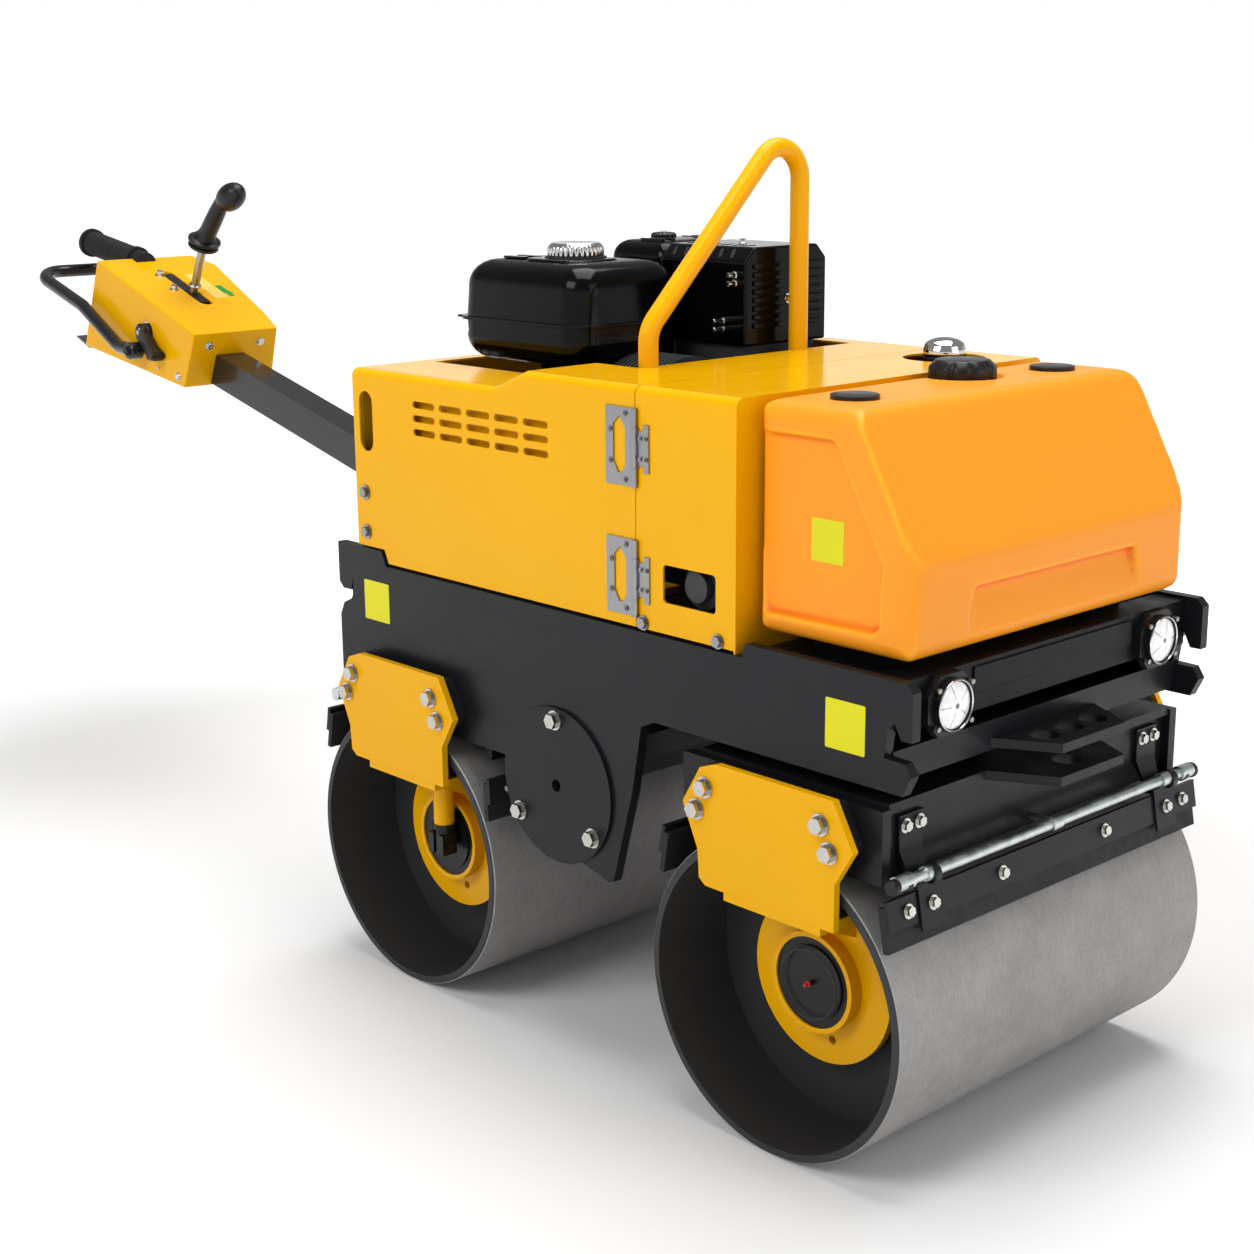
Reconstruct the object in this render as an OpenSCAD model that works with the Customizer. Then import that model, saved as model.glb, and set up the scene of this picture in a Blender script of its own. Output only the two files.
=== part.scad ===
// Walk behind vibratory roller: two steel drums, an engine with a hydraulic drive, and a steering tiller.
// Millimetres. X runs forward, Y runs across with the near side negative, Z is up and the ground is z = 0.
// Each piece is drawn about the front drum's axle, then moved so that the middle of the length is x = 0.

/* [What to draw] */
// One sub-part by name, or all of them

/* [Drums] */
// Outer diameter of each drum
drum_d = 425; // [421:0.5:427]
// Width of each drum
drum_w = 650; // [646:1:652]
// Wall of the drum shell
drum_wall = 12; // [8:1:16]
// Distance between the two axles
wheelbase = 760; // [756:1:764]
// Radius of the carrier disc at each drum end
disc_r = 115; // [105:1:118]
// Radius of the grease cap in the hub
hub_cap_r = 61.5; // [58:0.5:61.5]
// Outer radius of the hub bearing
bearing_r = 50; // [46:1:54]
// Radius of the drum journals
journal_r = 35; // [30:1:40]
// Radius of the vibrator shaft
exciter_r = 18; // [14:1:22]

/* [Main frame] */
// How far the side plates' outer faces lie inside the drum's ends
plate_inset = 14; // [13:0.5:15]
// Thickness of the side plates
plate_t = 15; // [12:1:16]
// Distance from the front axle to the rear edge of the side plates
plate_rear = 927; // [924:1:930]
// Distance from the front axle to the front edge of the side plates
plate_front = 207; // [205:1:210]
// Height of the top edge of the side plates
plate_top = 646; // [644:1:648]
// Height of the bottom edge in front of the middle lobe
plate_belly = 528; // [524:1:530]
// Thickness of a cross plate
cross_t = 12; // [8:1:14]
// How far the tow plates stand out from the front axle
tow_x = 245; // [240:1:250]
// Diameter of each tow hole
tow_hole_d = 39; // [30:1:42]

/* [Body] */
// How far the body's sides lie inside the side plates' faces
body_inset = 4; // [3:0.5:6]
// Height of the top over the front of the body
body_top = 965; // [960:1:968]
// Drop of the top towards the rear
body_drop = 27; // [20:1:32]
// Sheet thickness
sheet_t = 3; // [2:0.5:4]
// Radius of the rounded long edges
body_round = 12; // [8:1:14]
// Distance from the front axle to the hinge seam
seam_x = 258; // [256:1:260]
// Gap around a door
door_gap = 1.5; // [1:0.5:2]

/* [Water tank] */
// How far the tank's sides lie inside the body's sides
tank_inset = 22; // [20:1:27]
// Height of the tank's upper face
tank_top = 965; // [960:1:968]
// Height of the tank's underside
tank_bottom = 674; // [670:1:680]
// Radius of the water cap
water_cap_r = 45; // [40:1:48]

/* [Lifting bow] */
// Diameter of the bow's bar
bow_d = 28; // [24:1:32]
// Distance of each leg from the middle
bow_y = 151; // [149:1:153]
// Height of the bow's crown, to the middle of the bar
bow_crown = 1253; // [1240:1:1260]

/* [Tiller] */
// Width and height of the tiller's square tube
arm_w = 60; // [54:1:62]
// Wall of the tiller's tube
arm_wall = 4; // [3:0.5:6]
// Slope of the tiller at rest
arm_slope = 13.9; // [13.5:0.1:14.3]
// Diameter of the loop bar
loop_d = 25; // [22:1:26]
// Distance of each loop arm from the middle
loop_y = 113; // [112:0.5:114]

/* [Clearances] */
// Running clearance between a shaft and its hole, on the radius
run_gap = 0.05; // [0.03:0.01:0.08]
// Clearance between moving faces
face_gap = 0.4; // [0.3:0.1:0.6]
// Clearance between a bolt's shank and its hole, on the radius
bolt_gap = 0.3; // [0.2:0.1:0.5]

/* [Smoothness] */
// Number of faces on round pieces
round_fn = 96; // [64:8:128]

/* [Hidden] */
$fn = round_fn;
over = 1;                       // overrun of every cut
// overall length and the shift that puts its middle at x = 0
drum_r = drum_d / 2;
axle_z = drum_r;
loop_back = 2250;               // loop bar's cross bar, behind the front axle
front_reach = tow_x;
centre_shift = (loop_back + loop_d / 2 - front_reach) / 2;
end_y = drum_w / 2;
plate_y = end_y - plate_inset;
plate_in = plate_y - plate_t;
body_y = plate_y - body_inset;
tank_w = 2 * (body_y - tank_inset);

// carriers
carrier_gap = 7;
carrier_in = end_y + carrier_gap;
carrier_t = 10;
carrier_out = carrier_in + carrier_t;
carrier_mid_z = 477;
carrier_low_z = 445;
carrier_bolt_in = 97;
carrier_bolt_out = 112;
carrier_half = 140;
carrier_top = 511;
carrier_low = 345;
carrier_shelf_t = 12;
// corners of the outer plate, as shares of its half length and of its height
carrier_shares = [
  [-0.76, 0.94], [-0.56, 1], [0.83, 1], [1.06, 0.65], [0.86, 0.37], [0.86, 0], [-0.69, 0],
  [-0.77, 0.05], [-0.79, 0.28], [-0.98, 0.63]
];
pad_shares = [
  [-0.75, 0.95], [0.8, 0.95], [1, 0.645], [0.88, 0.52], [-0.88, 0.52], [-1, 0.645]
];
hub_depth = 111.5;
hub_in = end_y - hub_depth;     // inner face of the carrier disc
disc_t = 11.5;
hub_ring_r = 68;
hub_ring_l = 31.5;
hub_ring_out = hub_in + hub_ring_l;
bearing_l = 24.5;
bearing_out = hub_in + bearing_l;
gusset_x = 44;
hub_cap_t = 4;
post_r = 16;
fork_r = 18;
fork_h = 33;
fork_drop = 14;
post_x = 18;
post_y = hub_ring_out + fork_r + over;
shank_r = 7;
bolt_head_r = 11;
bolt_head_t = 9;
washer_t = 2.5;
washer_r = 14;

// drum insides
web_back = 28.5;
web_y = hub_in - web_back;
web_t = 12;
tube_r = 52;
tube_bore = 40;
journal_l = 33.5;
journal_in = hub_in - journal_l;
journal_end = bearing_out - face_gap;
drum_edge = 3;
weight_r = 36;
weight_l = 100;
weight_to = web_y - gusset_x;
nipple_r = 3;

// side plate outline: heights and stations of the hooks and the lobe
hook_top = 668;
hook_step = 815;
hook_lip = 897;
hook_lip_low = 596;
hook_back = 891;
hook_floor = 582;
hook_lug = 563;
plate_foot = 454;
foot_low = 414;
foot_front = 532;
foot_rear = 638;
front_top = 664;
front_step = 64;
front_notch = 171;
front_notch_low = 569;
front_notch_top = 614;
front_lip_low = 595;
front_lug = 553;
front_nose = 195;
front_lug_top = 568;
lobe_x = 314;
lobe_low = 283;
lobe_front = 265;
lobe_front_z = 422;
arch_x = 247;
arch_z = 517;
arch_end = 222;
lobe_rear = 520;
lobe_rear_z = 330;
edge_slope = 10;
cover_x = 415;
cover_z = 396;
cover_r = 112;
cover_t = 5;
cover_bolt_r = 95;
cover_hole_r = 9;

// cross members
deck_z = 634;
deck_rear = 880;
deck_front = 130;
engine_x = 640;                 // middle of the engine, behind the front axle
rail_y = 55;
rail_w = 40;
rail_h = 44;
beam_x = 180;
beam_low = 598;
beam_top = 660;
low_beam_x = 168;
low_beam_z = 534;
low_beam_h = 39;
tow_z = 538;
tow_front_y = 67;
tow_back_y = 111;
tow_back_x = 164;
tow_hole_x = 205;
tow_hole_y = 51;
swivel_rear = 130;
pin_r = 30;
flange_r = 62;
nut_r = 45;
nut_h = 16;
yoke_top = 507;
yoke_plate_top = 502;
yoke_plate_x = 167;
yoke_rear_low = 434;
yoke_front_low = 408;
yoke_cross_x = 155;
yoke_deck_rear = 150;
yoke_bolt_half = 13;
yoke_bolt_z = 473;

// body stations, behind the front axle
body_rear = 877;
body_front = 79;
notch_x = 812;
notch_top = 670.5;
notch_slope = 10;
slope_rear = 547;
slope_front = 481;
flange_in = 14;
flange_y = body_y - flange_in;
bay_rear = 850;
bay_front = 394;
bay_near = 172;
bay_edge = 42;
bay_far = body_y - bay_edge;
window_x = 161;
window_z = 716;
window_w = 95;
window_h = 50;
window_r = 6;
sill_gap = 4;
slot_x = 846;
slot_low = 816;
slot_high = 906;
slot_r = 16.5;
vent_x = 580;
vent_z = 877;
vent_w = 52;
vent_h = 10;
vent_pitch = 62;
vent_count = 5;
filler_x = 173;
filler_in = 98;
filler_y = body_y - filler_in;
filler_hole_r = 58;
filler_neck_r = 22;

// hinges
hinge_x = 256;
hinge_r = 3.9;
hinge_pin_r = 2;
leaf_t = 2.5;
leaf_low_z = 664;
leaf_high_z = 835;
leaf_h = 102;
leaf_w = 52;
leaf_fixed_w = 20;
knuckle_h = 24;
screw_r = 4;

// tank outline
tank_back = 69;
tank_face = 184;
tank_kink = 785;
tank_lip = 100;
tank_round = 16;
tank_recess = 4;
cap_x = 27;
cap_y = 63;
plug_r = 30;
plug_x = 16;
plug_in = 85;
plug_y = tank_w / 2 - plug_in;
cap_h = 30;

// lamps
lamp_in = 92;
lamp_y = plate_y - lamp_in;
lamp_z = 620;
lens_r = 30;
lamp_w = 85;
lamp_h = 75;
lamp_t = 10;
rim_t = 8;
lens_bulge = 5;
lamp_screw_y = 31;
lamp_screw_z = 23.5;

// scrapers and spray bars, about an axle
scraper_x = 190;
scraper_z = 168;
scraper_tilt = 10;
blade_over = 3.5;
blade_w = drum_w + 2 * blade_over;
holder_bolt_out = end_y - carrier_shelf_t * 8 / 3;
holder_bolt_in = 110;
holder_h = 38;
holder_t = 6;
blade_t = 8;
blade_h = 34;
spray_x = 190;
spray_z = 418;
spray_r = 7;
spray_end = plate_y;
spray_cap_r = 10;
spray_cap_l = 25;
clip_in = 61;
clip_y = plate_y - clip_in;
clip_w = 46;
low_turn = 7;

// hydraulic and engine stations, behind the front axle
case_front = 560;
case_l = 160;
case_rear = case_front + case_l;
case_w = 140;
case_base = plate_top + rail_h;
case_h = 172;
case_top = case_base + case_h;
shaft_rise = 110;
shaft_z = case_base + shaft_rise;
shaft_r = 12.5;
bell_l = 105;
bell_front = case_front - bell_l;
bell_r = 72;
bell_wall = 9;
pump_l = 155;
pump_front = bell_front - pump_l;
pump_r = 48;
shroud_l = 72;
shroud_rear = case_rear + shroud_l;
shroud_r = 108;
recoil_l = 43;
recoil_rear = shroud_rear + recoil_l;
recoil_r = 86;
head_y = 196;
head_rise = 62;
head_low = case_base + head_rise;
head_h = 153;
head_top = head_low + head_h;
fins = 7;
fuel_near = 140;
fuel_far = 70;
fuel_front = 555;
fuel_back = 775;
fuel_rise = 40;
fuel_low = head_top + fuel_rise;
fuel_tray = 62;
fuel_seam = fuel_low + fuel_tray;
fuel_lid = 91;
fuel_top = fuel_seam + fuel_lid;
fuel_flange = 835;
fuel_round = 26;
fuel_cap_r = 29;
fuel_cap_x = 660;
fuel_cap_y = 50;
air_front = 570;
air_rear = 700;
air_near = 80;
air_far = 245;
air_rise = 95;
air_low = head_top + air_rise;
air_h = 108;
air_top = air_low + air_h;
guard_front = 430;
guard_rear = 552;
guard_near = 72;
guard_far = 247;
guard_rise = 66;
guard_low = head_top + guard_rise;
guard_h = 142;
guard_top = guard_low + guard_h;
guard_cut = 24;
louvres = 7;

// lifting bow
bow_x = 398;
bow_bend = 45;
bow_foot = 30;
shoulder = 45;                  // degrees that the bow's shoulder leans

// tiller and control box
pivot_x = 945;
pivot_z = 650;
pivot_r = 12.5;
arm_eye_r = 30;
lug_t = 12;
lug_gap = 4;
box_front = 1692;
box_front_z = 915;
box_rear = 2042;
box_rear_z = 1035.5;
box_tail = 2115;
box_tail_z = 864;
box_foot = 1740;
box_foot_z = 811;
box_near = 87;
box_far = 95;
loop_x = 1872;
loop_z = 874;
loop_rise = 995;
loop_bend = 55;
loop_pin_r = 8;
grip_back = 2240;
grip_z = 1059;
grip_y = 10;
grip_len = 190;
grip_tilt = 9;
grip_r = 22;
grip_ribs = 14;
lever_x = 1879;
lever_y = 22;
lever_z = 955;
lever_pin_r = 4;
lever_lean = 34;
lever_r = 6;
lever_slot_rear = 1978;
lever_slot_front = 1817;
lever_slot_w = 24;
throttle_x = 1862;
throttle_z = 908;
throttle_r = 17;
throttle_pin_r = 5;
throttle_len = 112;
throttle_fall = 17;

// small places that the pieces above share
hinge_y = body_y + hinge_r + run_gap * 2;
bracket_low = 398;
bracket_high = 486;
spray_holes = 12;
spray_hole_r = 1.5;
spray_pitch = 24;
housing_bolt_rear = 244;
housing_bolt_front = 108;
housing_bolt_z = 658;
door_bolt_x = 853;
door_bolt_low = 693;
door_bolt_high = 753;
box_nut_rear = 1947;
box_nut_front = 1887;
box_plate = 2160;
plate_rise = 16;
lever_len = 132;
lever_bend = 45;
lever_grip = 90;
lever_disc_r = 30;
lever_disc_t = 9;
knob_r = 25;
pip_x = 20;
pip_z = 80;
pip_r = 6;
loop_eye = loop_d / 2 + over;   // half width of the eyes at the loop bar's ends
lap = 1;                        // degrees that a bend runs into the straight bars
rear_cross = wheelbase + yoke_cross_x - cross_t;

// names of all the sub-parts

// shared helpers

// colours, as the photograph shows them
yellow = [0.92, 0.66, 0.07];
orange = [0.98, 0.62, 0.2];
charcoal = [0.2, 0.2, 0.22];
steel = [0.62, 0.6, 0.59];
zinc = [0.75, 0.75, 0.74];
black = [0.06, 0.06, 0.065];
rubber_black = [0.1, 0.1, 0.1];
glass_white = [0.85, 0.88, 0.9];

function scaled(shares, w, h) = [for (p = shares) [p[0] * w, p[1] * h]];

module placed() { translate([centre_shift, 0, 0]) children(); }

// a bar along Y between two stations
module bar_y(r, y1, y2, x, z) {
  translate([x, y2, z]) rotate([90, 0, 0]) cylinder(r = r, h = y2 - y1);
}

// a bar along X between two stations
module bar_x(r, x1, x2, y, z) {
  translate([x1, y, z]) rotate([0, 90, 0]) cylinder(r = r, h = x2 - x1);
}

module bar_z(r, z1, z2, x, y) { translate([x, y, z1]) cylinder(r = r, h = z2 - z1); }

// a block between two corners
module block(x1, x2, y1, y2, z1, z2) { translate([x1, y1, z1]) cube([x2 - x1, y2 - y1, z2 - z1]); }

// an outline in x and z, drawn out from y1 to y2
module side(y1, y2) { translate([0, y2, 0]) rotate([90, 0, 0]) linear_extrude(y2 - y1) children(); }

// an outline in y and z, drawn out from x1 to x2
module front(x1, x2) {
  translate([x1, 0, 0]) rotate([90, 0, 90]) linear_extrude(x2 - x1) children();
}

module both_sides() {
  children();
  mirror([0, 1, 0]) children();
}

// one side only: -1 is the near side as drawn, 1 the far side
module on_side(s) {
  if (s < 0) children();
  else mirror([0, 1, 0]) children();
}

module hexagon(r) { circle(r = r, $fn = 6); }

// a hexagon head with its washer on a face looking towards -Y
module head_y(x, y, z, r = bolt_head_r, t = bolt_head_t, w = washer_r) {
  bar_y(w, y - washer_t, y, x, z);
  translate([x, y - washer_t, z]) rotate([90, 0, 0]) linear_extrude(t) hexagon(r);
}

// a small round head on a face looking towards -Y
module button_y(x, y, z, r, t) {
  bar_y(r, y - t, y, x, z);
  bar_y(r * 0.55, y - t * 1.5, y - t, x, z);
}

// a hexagon head with its washer on a face looking towards +X
module head_x(x, y, z, r = bolt_head_r, t = bolt_head_t, w = washer_r) {
  bar_x(w, x, x + washer_t, y, z);
  translate([x + washer_t, y, z]) rotate([0, 90, 0]) linear_extrude(t) hexagon(r);
}

// main side plate, near side

module plate_outline() {
  difference() {
    polygon([
      [-plate_rear, plate_foot], [-plate_rear, hook_lug - edge_slope],
      [-plate_rear + edge_slope, hook_lug + edge_slope], [-hook_lip, hook_floor],
      [-hook_back, hook_floor + edge_slope], [-hook_back, hook_lip_low + 2 * edge_slope],
      [-hook_lip, hook_lip_low], [-plate_rear + edge_slope, hook_lip_low],
      [-plate_rear, hook_lip_low + edge_slope], [-plate_rear, hook_top], [-hook_step, hook_top],
      [-hook_step + edge_slope, plate_top], [-front_step, plate_top],
      [-front_step + edge_slope / 2, front_top], [plate_front - edge_slope, front_top],
      [plate_front, front_top - edge_slope], [plate_front, front_lip_low],
      [front_notch + 2 * edge_slope, front_lip_low], [front_notch + edge_slope, front_notch_top],
      [front_notch, front_notch_top - edge_slope], [front_notch - edge_slope / 2, front_notch_low],
      [plate_front - edge_slope, front_lug_top], [plate_front, front_lug],
      [front_nose, plate_belly], [-arch_end, plate_belly], [-arch_x, arch_z],
      [-lobe_front, lobe_front_z], [-lobe_x + edge_slope, lobe_low], [-lobe_x, lobe_low - edge_slope / 3],
      [-lobe_x - edge_slope, lobe_low], [-lobe_rear, lobe_rear_z], [-foot_front, foot_low],
      [-foot_rear, foot_low]
    ]);
    translate([-cover_x, cover_z]) circle(r = cover_hole_r);
  }
}

module side_plate(s) {
  color(charcoal) placed() on_side(s) difference() {
    side(-plate_y, -plate_in) plate_outline();
    translate([-wheelbase, 0, 0]) carrier_bolt_shanks(shank_r + bolt_gap, carrier_out);
  }
}

module near_side_plate() { side_plate(-1); }
module far_side_plate() { side_plate(1); }

// cross members between the side plates

module engine_deck() {
  color(charcoal) placed() difference() {
    union() {
      block(-deck_rear, deck_front, -plate_in, plate_in, deck_z, plate_top);
      for (y = [-rail_y, rail_y])
        block(-engine_x - case_w / 2, -engine_x + case_w / 2, y - rail_w / 2, y + rail_w / 2,
          plate_top, plate_top + rail_h);
    }
    for (y = [-rail_y, rail_y])
      block(-engine_x - case_w / 2 - over, -engine_x + case_w / 2 + over,
        y - rail_w / 2 + sheet_t, y + rail_w / 2 - sheet_t, plate_top + sheet_t,
        plate_top + rail_h - sheet_t);
    for (y = [-bow_y, bow_y]) bar_z(shank_r, deck_z - over, plate_top + over, -bow_x, y);
  }
}

module front_upper_beam() {
  color(charcoal) placed() {
    block(beam_x - cross_t, beam_x, -plate_in, plate_in, beam_low, beam_top);
    block(beam_x - 4 * cross_t, beam_x - cross_t, -plate_in, plate_in,
      beam_top - cross_t / 2, beam_top);
  }
}

module tow_outline(rear) {
  polygon([
    [-rear, -plate_in], [-rear, plate_in], [tow_back_x, plate_in], [tow_back_x, tow_back_y],
    [tow_x, tow_front_y], [tow_x, -tow_front_y], [tow_back_x, -tow_back_y], [tow_back_x, -plate_in]
  ]);
}

module front_lower_beam() {
  color(charcoal) placed() difference() {
    union() {
      translate([0, 0, tow_z]) linear_extrude(cross_t) tow_outline(swivel_rear);
      block(low_beam_x - cross_t, low_beam_x, -plate_in, plate_in, low_beam_z,
        low_beam_z + low_beam_h);
    }
    for (y = [-tow_hole_y, 0, tow_hole_y])
      bar_z(tow_hole_d / 2, tow_z - over, tow_z + cross_t + over, tow_hole_x, y);
    bar_z(pin_r + run_gap, tow_z - over, tow_z + cross_t + over, 0, 0);
  }
}

module rear_cross_beam() {
  lug_in = arm_w / 2 + lug_gap;
  color(charcoal) placed() {
    block(-rear_cross - cross_t, -rear_cross, -plate_in, plate_in, plate_foot, hook_lip_low);
    block(-rear_cross, -rear_cross + 4 * cross_t, -plate_in, plate_in, hook_lip_low - cross_t,
      hook_lip_low);
    for (s = [-1, 1]) on_side(s) side(-lug_in - lug_t, -lug_in) difference() {
      union() {
        translate([-pivot_x, pivot_z]) circle(r = arm_eye_r);
        polygon([
          [-pivot_x - arm_eye_r, pivot_z], [-pivot_x + arm_eye_r, pivot_z],
          [-rear_cross, hook_lip_low], [-rear_cross, plate_foot],
          [-rear_cross - cross_t, plate_foot + cross_t]
        ]);
      }
      translate([-rear_cross - cross_t, 0]) square([cross_t, hook_lip_low]);
    }
    bar_y(pivot_r, -lug_in - 2 * lug_t, lug_in + 2 * lug_t, -pivot_x, pivot_z);
  }
}

// round covers over the drive of the rear drum

module round_covers() {
  color(charcoal) placed() both_sides() difference() {
    bar_y(cover_r, -plate_y - cover_t, -plate_y, -cover_x, cover_z);
    bar_y(cover_hole_r, -plate_y - cover_t - over, -plate_y + over, -cover_x, cover_z);
  }
}

// carriers, hubs and their bolts, drawn about an axle at x = 0 on the near side

bolt_places = [
  [-carrier_bolt_in, carrier_mid_z], [carrier_bolt_in, carrier_mid_z],
  [-carrier_bolt_out, carrier_low_z], [carrier_bolt_out, carrier_low_z]
];

module carrier_bolt_shanks(r, reach) {
  for (p = bolt_places) bar_y(r, -reach - over, -plate_in + over, p[0], p[1]);
}

module carrier() {
  shelf_low = carrier_low - carrier_shelf_t;
  difference() {
    union() {
      side(-carrier_out, -carrier_in) translate([0, carrier_low])
        polygon(scaled(carrier_shares, carrier_half, carrier_top - carrier_low));
      block(-gusset_x - cross_t, carrier_bolt_in, -carrier_out + washer_t, -hub_in, shelf_low,
        carrier_low);
      block(-gusset_x * 1.5, -gusset_x * 0.9, -carrier_out + washer_t, -carrier_in, shelf_low,
        carrier_low + over);
      bar_y(disc_r, -hub_in - disc_t, -hub_in, 0, axle_z);
      for (x = [-gusset_x - cross_t, gusset_x]) front(x, x + cross_t) polygon([
        [-hub_in - over, axle_z + disc_r * 0.6], [-hub_in - over, carrier_low],
        [-carrier_in, carrier_low], [-carrier_in, shelf_low]
      ]);
      bar_y(hub_ring_r, -hub_ring_out, -hub_in, 0, axle_z);
    }
    bar_y(bearing_r, -bearing_out, -hub_in + over, 0, axle_z);
    bar_y(hub_cap_r + run_gap, -hub_ring_out - over, -bearing_out, 0, axle_z);
    bar_y(pip_r, -hub_ring_out, -hub_in + over, pip_x, axle_z - pip_z);
    carrier_bolt_shanks(shank_r + bolt_gap, carrier_out);
  }
}

module carrier_pad() {
  difference() {
    side(-carrier_in, -plate_y) translate([0, carrier_low])
      polygon(scaled(pad_shares, carrier_half, carrier_top - carrier_low));
    carrier_bolt_shanks(shank_r + bolt_gap, carrier_out);
  }
}

module carrier_bolts() {
  for (p = bolt_places) {
    head_y(p[0], -carrier_out, p[1]);
    bar_y(shank_r, -carrier_out, -plate_in + bolt_head_t, p[0], p[1]);
    translate([p[0], -plate_in + bolt_head_t, p[1]]) rotate([90, 0, 0])
      linear_extrude(bolt_head_t) hexagon(bolt_head_r);
  }
}

module hub_cap() {
  face = bearing_out + hub_cap_t;
  bar_y(hub_cap_r, -face, -bearing_out - face_gap, 0, axle_z);
  bar_y(hub_cap_r * 0.82, -face - sheet_t, -face, 0, axle_z);
  bar_y(nipple_r, -face - 3 * sheet_t, -face - sheet_t, 0, axle_z);
}

module hub_bearing() {
  difference() {
    bar_y(bearing_r, -bearing_out, -hub_in - washer_t, 0, axle_z);
    bar_y(journal_r + run_gap, -bearing_out - over, -hub_in, 0, axle_z);
    translate([0, -bearing_out - over, axle_z]) rotate([-90, 0, 0]) difference() {
      cylinder(r = (bearing_r + journal_r) / 2 + washer_t, h = over + washer_t);
      cylinder(r = (bearing_r + journal_r) / 2 - washer_t, h = over + washer_t);
    }
  }
}

module near_carrier(x0) { color(yellow) placed() translate([x0, 0, 0]) carrier(); }
module far_carrier(x0) { color(yellow) placed() translate([x0, 0, 0]) mirror([0, 1, 0]) carrier(); }
// the rear near carrier also holds a post with the fork of the hub's drive
module rear_near_carrier() {
  near_carrier(-wheelbase);
  color(yellow) placed() bar_z(post_r, axle_z + fork_h, carrier_low - over, post_x - wheelbase, -post_y);
}
module rear_far_carrier() { far_carrier(-wheelbase); }
module front_near_carrier() { near_carrier(0); }
module front_far_carrier() { far_carrier(0); }

module rear_carrier_pads() {
  color(rubber_black) placed() both_sides() translate([-wheelbase, 0, 0]) carrier_pad();
}
module front_carrier_pads() { color(rubber_black) placed() both_sides() carrier_pad(); }
// the bolts of the round covers and of the scrapers are drawn with the carriers' bolts
module rear_carrier_bolts() {
  color(zinc) placed() both_sides() {
    translate([-wheelbase, 0, 0]) {
      carrier_bolts();
      mirror([1, 0, 0]) scraper_bolts();
      low_frame() scraper_bolts();
    }
    for (a = [90, 215, 323]) head_y(-cover_x + cover_bolt_r * cos(a), -plate_y - cover_t,
      cover_z + cover_bolt_r * sin(a));
  }
}
module front_carrier_bolts() {
  color(zinc) placed() both_sides() {
    carrier_bolts();
    scraper_bolts();
    mirror([1, 0, 0]) scraper_bolts();
  }
}
module rear_hub_caps() {
  color(black) placed() {
    both_sides() translate([-wheelbase, 0, 0]) hub_cap();
    translate([post_x - wheelbase, -post_y, axle_z]) fork();
  }
}

// a split clamp on the end of the post, with its bolt
module fork() {
  difference() {
    union() {
      cylinder(r = fork_r, h = fork_h);
      block(-fork_r, fork_r, -fork_r, fork_r * 0.5, -fork_drop, fork_h * 0.55);
    }
    block(-fork_r * 0.3, fork_r * 0.1, -fork_r - over, fork_r + over, -fork_drop - over, fork_h * 0.75);
  }
  bar_x(shank_r * 0.8, -fork_r - washer_t * 2, fork_r + washer_t * 2, -fork_r / 4, 0);
}
module front_hub_caps() { color(black) placed() both_sides() hub_cap(); }
module rear_hub_bearings() {
  color(steel) placed() both_sides() translate([-wheelbase, 0, 0]) hub_bearing();
}
module front_hub_bearings() { color(steel) placed() both_sides() hub_bearing(); }

// drums, turned about their axles

module drum(x0) {
  inner = drum_r - drum_wall;
  bore = exciter_r + run_gap;
  color(steel) placed() translate([x0, 0, axle_z]) rotate([90, 0, 0])
    rotate_extrude() {
      polygon([
        [inner, -end_y], [drum_r - drum_edge, -end_y], [drum_r, -end_y + drum_edge],
        [drum_r, end_y - drum_edge], [drum_r - drum_edge, end_y], [inner, end_y]
      ]);
      for (y = [-web_y - web_t, web_y])
        translate([tube_r - over, y]) square([inner - tube_r + 2 * over, web_t]);
      translate([tube_bore, -hub_in + face_gap])
        square([tube_r - tube_bore, 2 * (hub_in - face_gap)]);
      for (s = [-1, 1]) translate([bore, s > 0 ? journal_in : -journal_end])
        square([journal_r - bore, journal_end - journal_in]);
      for (s = [-1, 1]) translate([journal_r - over, s > 0 ? journal_in : -hub_in + face_gap])
        square([tube_bore - journal_r + 2 * over, hub_in - face_gap - journal_in]);
    }
}

module rear_drum() { drum(-wheelbase); }
module front_drum() { drum(0); }

module exciter(x0) {
  color(charcoal) placed() translate([x0, 0, 0]) {
    bar_y(exciter_r, -hub_in + sheet_t, hub_in - sheet_t, 0, axle_z);
    for (y = [-weight_to, weight_to - weight_l]) side(y, y + weight_l)
      translate([0, axle_z]) difference() {
        circle(r = weight_r);
        translate([-weight_r - over, 0]) square([2 * weight_r + 2 * over, weight_r + over]);
        circle(r = exciter_r - over);
      }
  }
}

module rear_exciter_shaft() { exciter(-wheelbase); }
module front_exciter_shaft() { exciter(0); }

// scrapers: a rubber blade in a steel holder, leaning with the drum

module scraper_pose() {
  translate([scraper_x, 0, axle_z + scraper_z]) rotate([0, -scraper_tilt, 0]) children();
}

module holder() {
  scraper_pose() {
    block(-holder_t / 2, holder_t / 2, -blade_w / 2, blade_w / 2, -holder_h / 2, holder_h / 2);
    for (y = [-clip_y, clip_y])
      block(holder_t / 2, holder_t, y - clip_w / 2, y + clip_w / 2, -holder_h * 0.8, holder_h * 0.7);
  }
}

// small bolts on the near half of a scraper, its clips and its brackets
module scraper_bolts() {
  small = [bolt_head_r * 0.6, bolt_head_t * 0.6, washer_r * 0.65];
  scraper_pose() {
    for (y = [-holder_bolt_out, -holder_bolt_in]) head_x(holder_t / 2, y, 0, small[0], small[1], small[2]);
    head_x(holder_t, -clip_y, 0, small[0], small[1], small[2]);
  }
  for (y = [-clip_y - yoke_bolt_half, -clip_y + yoke_bolt_half])
    head_x(yoke_cross_x + holder_t, y, yoke_bolt_z, small[0], small[1], small[2]);
}

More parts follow.
